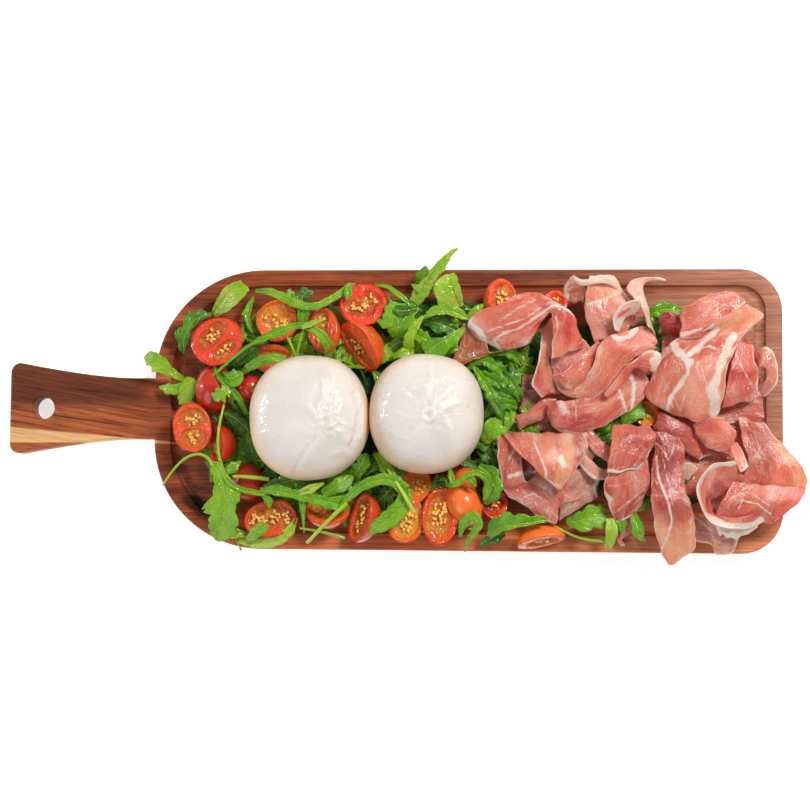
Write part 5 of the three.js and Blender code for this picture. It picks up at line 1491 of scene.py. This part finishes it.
    (0.3, 0.7, 14, [(50.1, -19.1, 22), (57.7, -21.8, 27), (66.1, -20.5, 26)], oval(1.8, 3.6, 3.6, 1.2)),
    (0.6, 1.4, 14, [(155.6, 53.1, 24), (161.9, 58.6, 29), (169.6, 60.3, 30), (178.3, 60.2, 26)],
        [(0, 1.8, 1.8), (0.3, 3.6, 4.2), (0.6, 3.6, 3.6), (0.85, 2.4, 3), (1, 0.6, 0.6)]),
    (0.5, 1.2, 14, [(159.3, 46, 22), (162.6, 52.8, 27), (167.4, 57.6, 27)], oval(1.8, 3.6, 3.6, 1.2)),
    (0.6, 0.6, 14, [(118.2, -24.9, 24), (122.9, -19.1, 29), (127.7, -14.2, 28)], oval(1.8, 4.2, 3.6, 1.2)),
    (0.55, 0.6, 14, [(127.8, -15.3, 26), (131.8, -10, 30), (136.1, -5.1, 28)], oval(1.8, 3.6, 3.6, 1.2)),
    (0.6, 0.7, 14, [(142.2, -9.2, 26), (148, -3.4, 31), (155.2, 1.6, 29)], [(0, 1.8, 1.8), (0.4, 4.8, 4.2),
        (0.7, 4.2, 4.8), (1, 1.8, 1.8)]),
    (0.35, 0.7, 14, [(132.8, -18.7, 22), (136.2, -11.6, 26), (141.1, -5.5, 25)], oval(1.8, 3.6, 3.6, 1.2)),
    (0.5, 0.6, 14, [(179.3, -44, 26), (181.4, -39.2, 29), (182.9, -34.3, 26)], oval(1.8, 3, 3, 1.2)),
    (0.4, 0.6, 14, [(114.6, -39.5, 24), (118.1, -36, 28), (119.4, -31.1, 26)], oval(1.8, 3.6, 3.6, 1.2)),
]
# Bare stems: tone, radius in mm, and points in mm.
stems = [
    (0.85, 0.95, [(-59.9, 41.3, 42), (-58, 36.3, 38), (-56.6, 30.3, 30)]),
    (0.8, 0.9, [(-51.4, 44.4, 42), (-53.8, 38.2, 37), (-56.6, 30.3, 30)]),
    (0.75, 1.0, [(-99.9, 0.9, 35), (-101.8, -9.6, 37), (-102.9, -20.6, 37), (-102.5, -29.7, 35),
        (-100.9, -36.9, 33)]),
    (0.7, 1.0, [(-140.4, -48, 19), (-134.6, -40.6, 23), (-126.2, -32.7, 28), (-117.3, -29.1, 32),
        (-109.9, -31, 35), (-105.9, -36.5, 36)]),
    (0.85, 1.3, [(-93.5, -42.5, 36), (-82.5, -43.1, 39), (-71.1, -44.2, 37)]),
    (0.7, 0.7, [(-92.4, -81.4, 25), (-91.4, -84.5, 23), (-90.8, -87.7, 19)]),
    (0.88, 1.3, [(-47.3, -82.6, 38), (-38.5, -73.5, 41), (-29.2, -64.4, 43), (-22.7, -58.4, 43)]),
    (0.45, 0.9, [(-51.9, -73.7, 36), (-38.3, -75.9, 37), (-24.7, -79.5, 34)]),
    (0.97, 1.2, [(1.7, -38.3, 41), (8.2, -47.4, 46), (13.2, -55.1, 47), (17.8, -63.4, 44)]),
    (0.6, 0.9, [(102.6, -71.7, 26), (112.3, -76.4, 26), (123, -79.3, 27), (133.8, -79.8, 28)]),
]
salad = {
    "thickness": 0.25 * mm,
    "rowStep": 0.85 * mm,
    "columnStep": 1.1 * mm,
    "breadth": 1.15,
    "curl": 0.1,  # how far the edges bend down
    "sweep": 0.3,  # how far the lobes point to the tip
    "toothLength": 9 * mm,
    "toothDepth": 0.42,
    "ruffleLength": 7 * mm,
    "ruffleShare": 0.7,
    "uneven": 0.32 * mm,
    "unevenSize": 5 * mm,
    "midribDepth": 0.15 * mm,
    "midribWidth": 0.6 * mm,
    "fillers": 190,
    # places with no filler: x, y and radius in mm
    "bare": [(-134, -48, 24), (-133, 34, 16), (-88, 66, 15), (-40, -82, 14), (150, 76, 22), (214, 30, 20)],
}
lobed = [(0, 0.02, 0.02), (0.2, 0.02, 0.02), (0.29, 0.1, 0.09), (0.36, 0.035, 0.04), (0.46, 0.16, 0.14),
         (0.53, 0.05, 0.06), (0.62, 0.17, 0.18), (0.69, 0.08, 0.08), (0.8, 0.19, 0.18), (0.9, 0.14, 0.14),
         (0.97, 0.06, 0.06), (1, 0.01, 0.01)]
smoothEdged = [(0, 0.02, 0.02), (0.18, 0.025, 0.025), (0.4, 0.1, 0.11), (0.6, 0.14, 0.13), (0.8, 0.12, 0.12),
               (0.93, 0.055, 0.06), (1, 0.01, 0.01)]


def leafShape(rib, profile, fold, ruffle, seed):
    rng = np.random.default_rng(seed)
    rib = np.array(rib, dtype=float) * mm
    profile = np.array(profile, dtype=float)
    broad = profile[:, 1:].max() * mm
    rows = int(np.clip(lengths(rib)[-1] / salad["rowStep"], 12, 64))
    half = int(np.clip(broad / salad["columnStep"], 2, 9))
    line = smoothLine(rib, rows)
    along = lengths(line)
    share = np.linspace(0, 1, rows)
    widths = np.stack([np.interp(share, profile[:, 0], profile[:, k]) for k in (1, 2)]) * mm
    for side in (0, 1):
        # teeth that lean to the tip
        angle = 2 * math.pi * along / (salad["toothLength"] * rng.uniform(0.7, 1.25)) + rng.uniform(0, 6)
        angle += 0.9 * np.sin(along / (6 * mm) + rng.uniform(0, 6))
        tooth = 0.5 + 0.5 * np.sin(angle + 0.7 * np.cos(angle))
        big = np.clip(widths[side] / (3 * mm), 0, 1) * np.clip(0.15 + ruffle, 0.15, 1)
        widths[side] *= salad["breadth"] * (1 + big * salad["toothDepth"] * (tooth - 0.5))
    ahead = np.gradient(line, axis=0)
    ahead /= np.linalg.norm(ahead, axis=1)[:, None]
    left = np.cross([0, 0, 1], ahead)
    left /= np.maximum(np.linalg.norm(left, axis=1), 1e-6)[:, None]
    up = np.cross(ahead, left)
    v = np.linspace(1, -1, 2 * half + 1)
    away = np.where(v > 0, v * widths[0][:, None], -v * widths[1][:, None])
    tilt = math.radians(fold)
    phase = np.where(v > 0, rng.uniform(0, 6), rng.uniform(0, 6))
    stretch = rng.uniform(0.8, 1.3) * salad["ruffleLength"]
    wave = np.sin(2 * math.pi * along[:, None] / stretch + phase + 0.8 * np.sin(along[:, None] / (7 * mm)))
    bend = away ** 2 / max(broad, 2 * mm)
    rise = math.sin(tilt) * away - salad["curl"] * bend
    rise = rise + salad["ruffleShare"] * ruffle * mm * wave * (away / max(broad, 3 * mm)) ** 1.3
    rise = rise - salad["midribDepth"] * hump(away, salad["midribWidth"])
    grid = line[:, None] + left[:, None] * (math.cos(tilt) * np.sign(v) * away)[..., None]
    grid = grid + up[:, None] * rise[..., None] + ahead[:, None] * (salad["sweep"] * bend)[..., None]
    flat = grid.reshape(-1, 3)
    flat[:, 2] += salad["uneven"] * waves(flat, salad["unevenSize"], seed, 2)
    return flat.reshape(grid.shape), np.sign(v) * away, np.tile(along[:, None], (1, len(v)))


def makeLeaf(name, tone, ruffle, fold, rib, profile, seed):
    grid, across, along = leafShape(rib, profile, fold, ruffle, seed)
    leaf = newSheet(name, grid, across, along + 0.2 * seed)
    keep(leaf, "tone", np.full(grid.shape[:2], tone))
    return leaf


def makeStem(name, tone, radius, points):
    curve = bpy.data.curves.new(name, "CURVE")
    curve.dimensions = "3D"
    curve.bevel_depth = radius * mm
    curve.bevel_resolution = 2
    curve.use_fill_caps = True
    line = smoothLine(np.array(points) * mm, 5 * len(points))
    spline = curve.splines.new("POLY")
    spline.points.add(len(line) - 1)
    for i, (point, at) in enumerate(zip(spline.points, line)):
        point.co = (*at, 1)
        point.radius = 0.75 + 0.35 * (i / len(line)) + 0.06 * math.sin(1.7 * i)
    stem = bpy.data.objects.new(name, curve)
    bpy.context.collection.objects.link(stem)
    pick(stem)
    bpy.ops.object.convert(target="MESH")
    stem = newest(name)
    keep(stem, "tone", np.full(len(stem.data.vertices), tone))
    return stem


def inHeap(x, y):
    # the heap is narrower under the ham, right of x 62
    if x > 62:
        if abs(y + 4) > 52 or x > 208:
            return False
    elif abs(y) > 74 - 0.0022 * max(0, -x - 20) ** 2 or x < -132:
        return False
    return all(math.hypot(x - a, y - b) > reach for a, b, reach in salad["bare"])


def fillerLeaves():
    rng = random.Random(11)
    found = []
    while len(found) < salad["fillers"]:
        x, y = rng.uniform(-130, 205), rng.uniform(-74, 74)
        heading, bend = rng.uniform(0, 2 * math.pi), rng.uniform(-0.9, 0.9)
        length = rng.uniform(24, 52)
        low, arch = rng.uniform(16.6, 20.5), rng.uniform(2, 7)
        rib = []
        for k in range(5):
            t = k / 4
            turn = heading + bend * t
            rib.append((x, y, low + arch * math.sin(math.pi * (0.15 + 0.8 * t))))
            x, y = x + length / 4 * math.cos(turn), y + length / 4 * math.sin(turn)
        if not all(inHeap(px, py) for px, py, pz in rib):
            continue
        plan = lobed if rng.random() < 0.6 else smoothEdged
        size = length * rng.uniform(0.85, 1.2)
        profile = [(t, max(0.6, a * size), max(0.6, b * size)) for t, a, b in plan]
        tone = rng.choice([0.1, 0.22, 0.3, 0.42, 0.5, 0.6, 0.75])
        found.append((tone, rng.uniform(0.4, 1.4), rng.uniform(5, 28), rib, profile))
    return found


def rocketLeaf(name, under):
    material = startMaterial(name, Roughness=0.5 if under else 0.3, Subsurface_Weight=0.1,
                             Subsurface_Scale=0.001, Subsurface_Radius=(0.4, 1.0, 0.1),
                             Specular_IOR_Level=0.2 if under else 0.28)
    lay = node("UVMap", uv_map="lay").outputs[0]
    parts = axes(lay)
    along, away = parts[0], sums("ABSOLUTE", parts[1])
    # the tone of each leaf, from dark to pale, is partly its own green and partly painted light and shade,
    # and the patches add more painted light and shade across each leaf
    patches = grain(lay, 85, 3, 0.55)
    tone = plus(carried("tone"), times(minus(patches, 0.5), 0.75))
    colour = ramp(tone, [(0.0, (0.006, 0.038, 0.001)), (0.3, (0.032, 0.160, 0.001)),
                         (0.6, (0.118, 0.335, 0.002)), (0.85, (0.25, 0.45, 0.010)),
                         (1.0, (0.40, 0.51, 0.070))])
    if under:
        colour = mixed(0.35, colour, (0.40, 0.50, 0.08))
    # side veins that slant to the tip, the midrib and a fine net
    wander = times(grain(lay, 160, 2), 0.004)
    slant = plus(minus(along, times(away, 1.1)), wander)
    stripes = sums("SINE", times(slant, 2 * math.pi / 0.0052))
    side = times(mask(stripes, 0.86, 0.99), mask(away, 0.010, 0.002))
    net = grain(lay, 520, 3, 0.6)
    middle = mask(away, 0.00070, 0.00025)
    pale = mixed(0.42, colour, (0.58, 0.71, 0.06))
    for share in (times(side, 0.35), times(middle, 0.7), times(mask(net, 0.5, 0.62), 0.12)):
        colour = mixed(share, colour, pale)
    ridges = plus(times(side, -0.8), times(middle, -1.0))
    relief = plus(ridges, times(net, 1.3))
    shade(Base_Color=colour, Normal=bump(relief, 0.0006, 0.85), Coat_Weight=0.05 if under else 0.4,
          Coat_Roughness=0.07, Coat_Normal=bump(grain(lay, 260, 1), 0.0022))
    return material


def finishLeaves(pieces, name, top, under):
    bunch = join(pieces, name)
    cover(bunch, top, under)
    modify(bunch, "SOLIDIFY", thickness=salad["thickness"], offset=-1, use_even_offset=False,
           material_offset=1, material_offset_rim=0)
    smooth(bunch)
    return bunch


def paintedShadeLeaf():
    # painted shade: near-black green lumps, so that the core reads as the shade in the gaps of the heap
    material = startMaterial("paintedShadeLeaf", Roughness=0.5, Specular_IOR_Level=0.3)
    lumps = speckle(170, 4, 0.65, 1.2)
    tone = ramp(lumps, [(0.36, (0.004, 0.014, 0.001)), (0.52, (0.014, 0.055, 0.003)),
                        (0.68, (0.050, 0.150, 0.008))])
    shade(Base_Color=tone, Normal=bump(lumps, 0.003, 0.9))
    return material


def makeCore(name, low, high, height, skin):
    # leaves at the bottom of the heap, which carry the rest; their near-black green is painted shade for the
    # gaps between the leaves
    core = newBall(name, 72, 40)
    unit = places(core)
    plan = np.abs(unit[:, :2]) ** 0.7 * np.sign(unit[:, :2])
    middle, half = (np.array(low) + high) / 2 * mm, (np.array(high) - low) / 2 * mm
    points = np.zeros_like(unit)
    points[:, :2] = middle + plan * half
    lumps = 0.65 + 0.35 * waves(points, 13 * mm, 3, 3)
    risen = np.clip(unit[:, 2], 0, None) ** 0.6 * height * mm * lumps
    points[:, 2] = plank["thickness"] + 0.2 * mm + risen
    place(core, points)
    smooth(core, 50)
    cover(core, skin)
    return core


top, under = rocketLeaf("rocketTop", False), rocketLeaf("rocketUnder", True)
placed = [makeLeaf(f"leaf{i}", *leaf, i) for i, leaf in enumerate(leaves)]
split = len(placed) // 2
fillers = [makeLeaf(f"filler{i}", *leaf, i) for i, leaf in enumerate(fillerLeaves(), 300)]
bunches = {
    "rocketLeft": placed[:split],
    "rocketRight": placed[split:],
    "rocketBed1": fillers[::3],
    "rocketBed2": fillers[1::3],
    "rocketBed3": fillers[2::3],
}
heap = [finishLeaves(pieces, name, top, under) for name, pieces in bunches.items()]
stalks = join([makeStem(f"stem{i}", *stem) for i, stem in enumerate(stems)], "rocketStems")
cover(stalks, top)
smooth(stalks, 60)
heapShade = paintedShadeLeaf()
heap += [stalks, makeCore("heapCoreLeft", (-96, -44), (60, 40), 4.5, heapShade),
         makeCore("heapCoreRight", (62, -50), (205, 52), 6, heapShade)]
for piece in heap:
    serve(piece, "leaf", "leaf_heap")
print("leaves made")
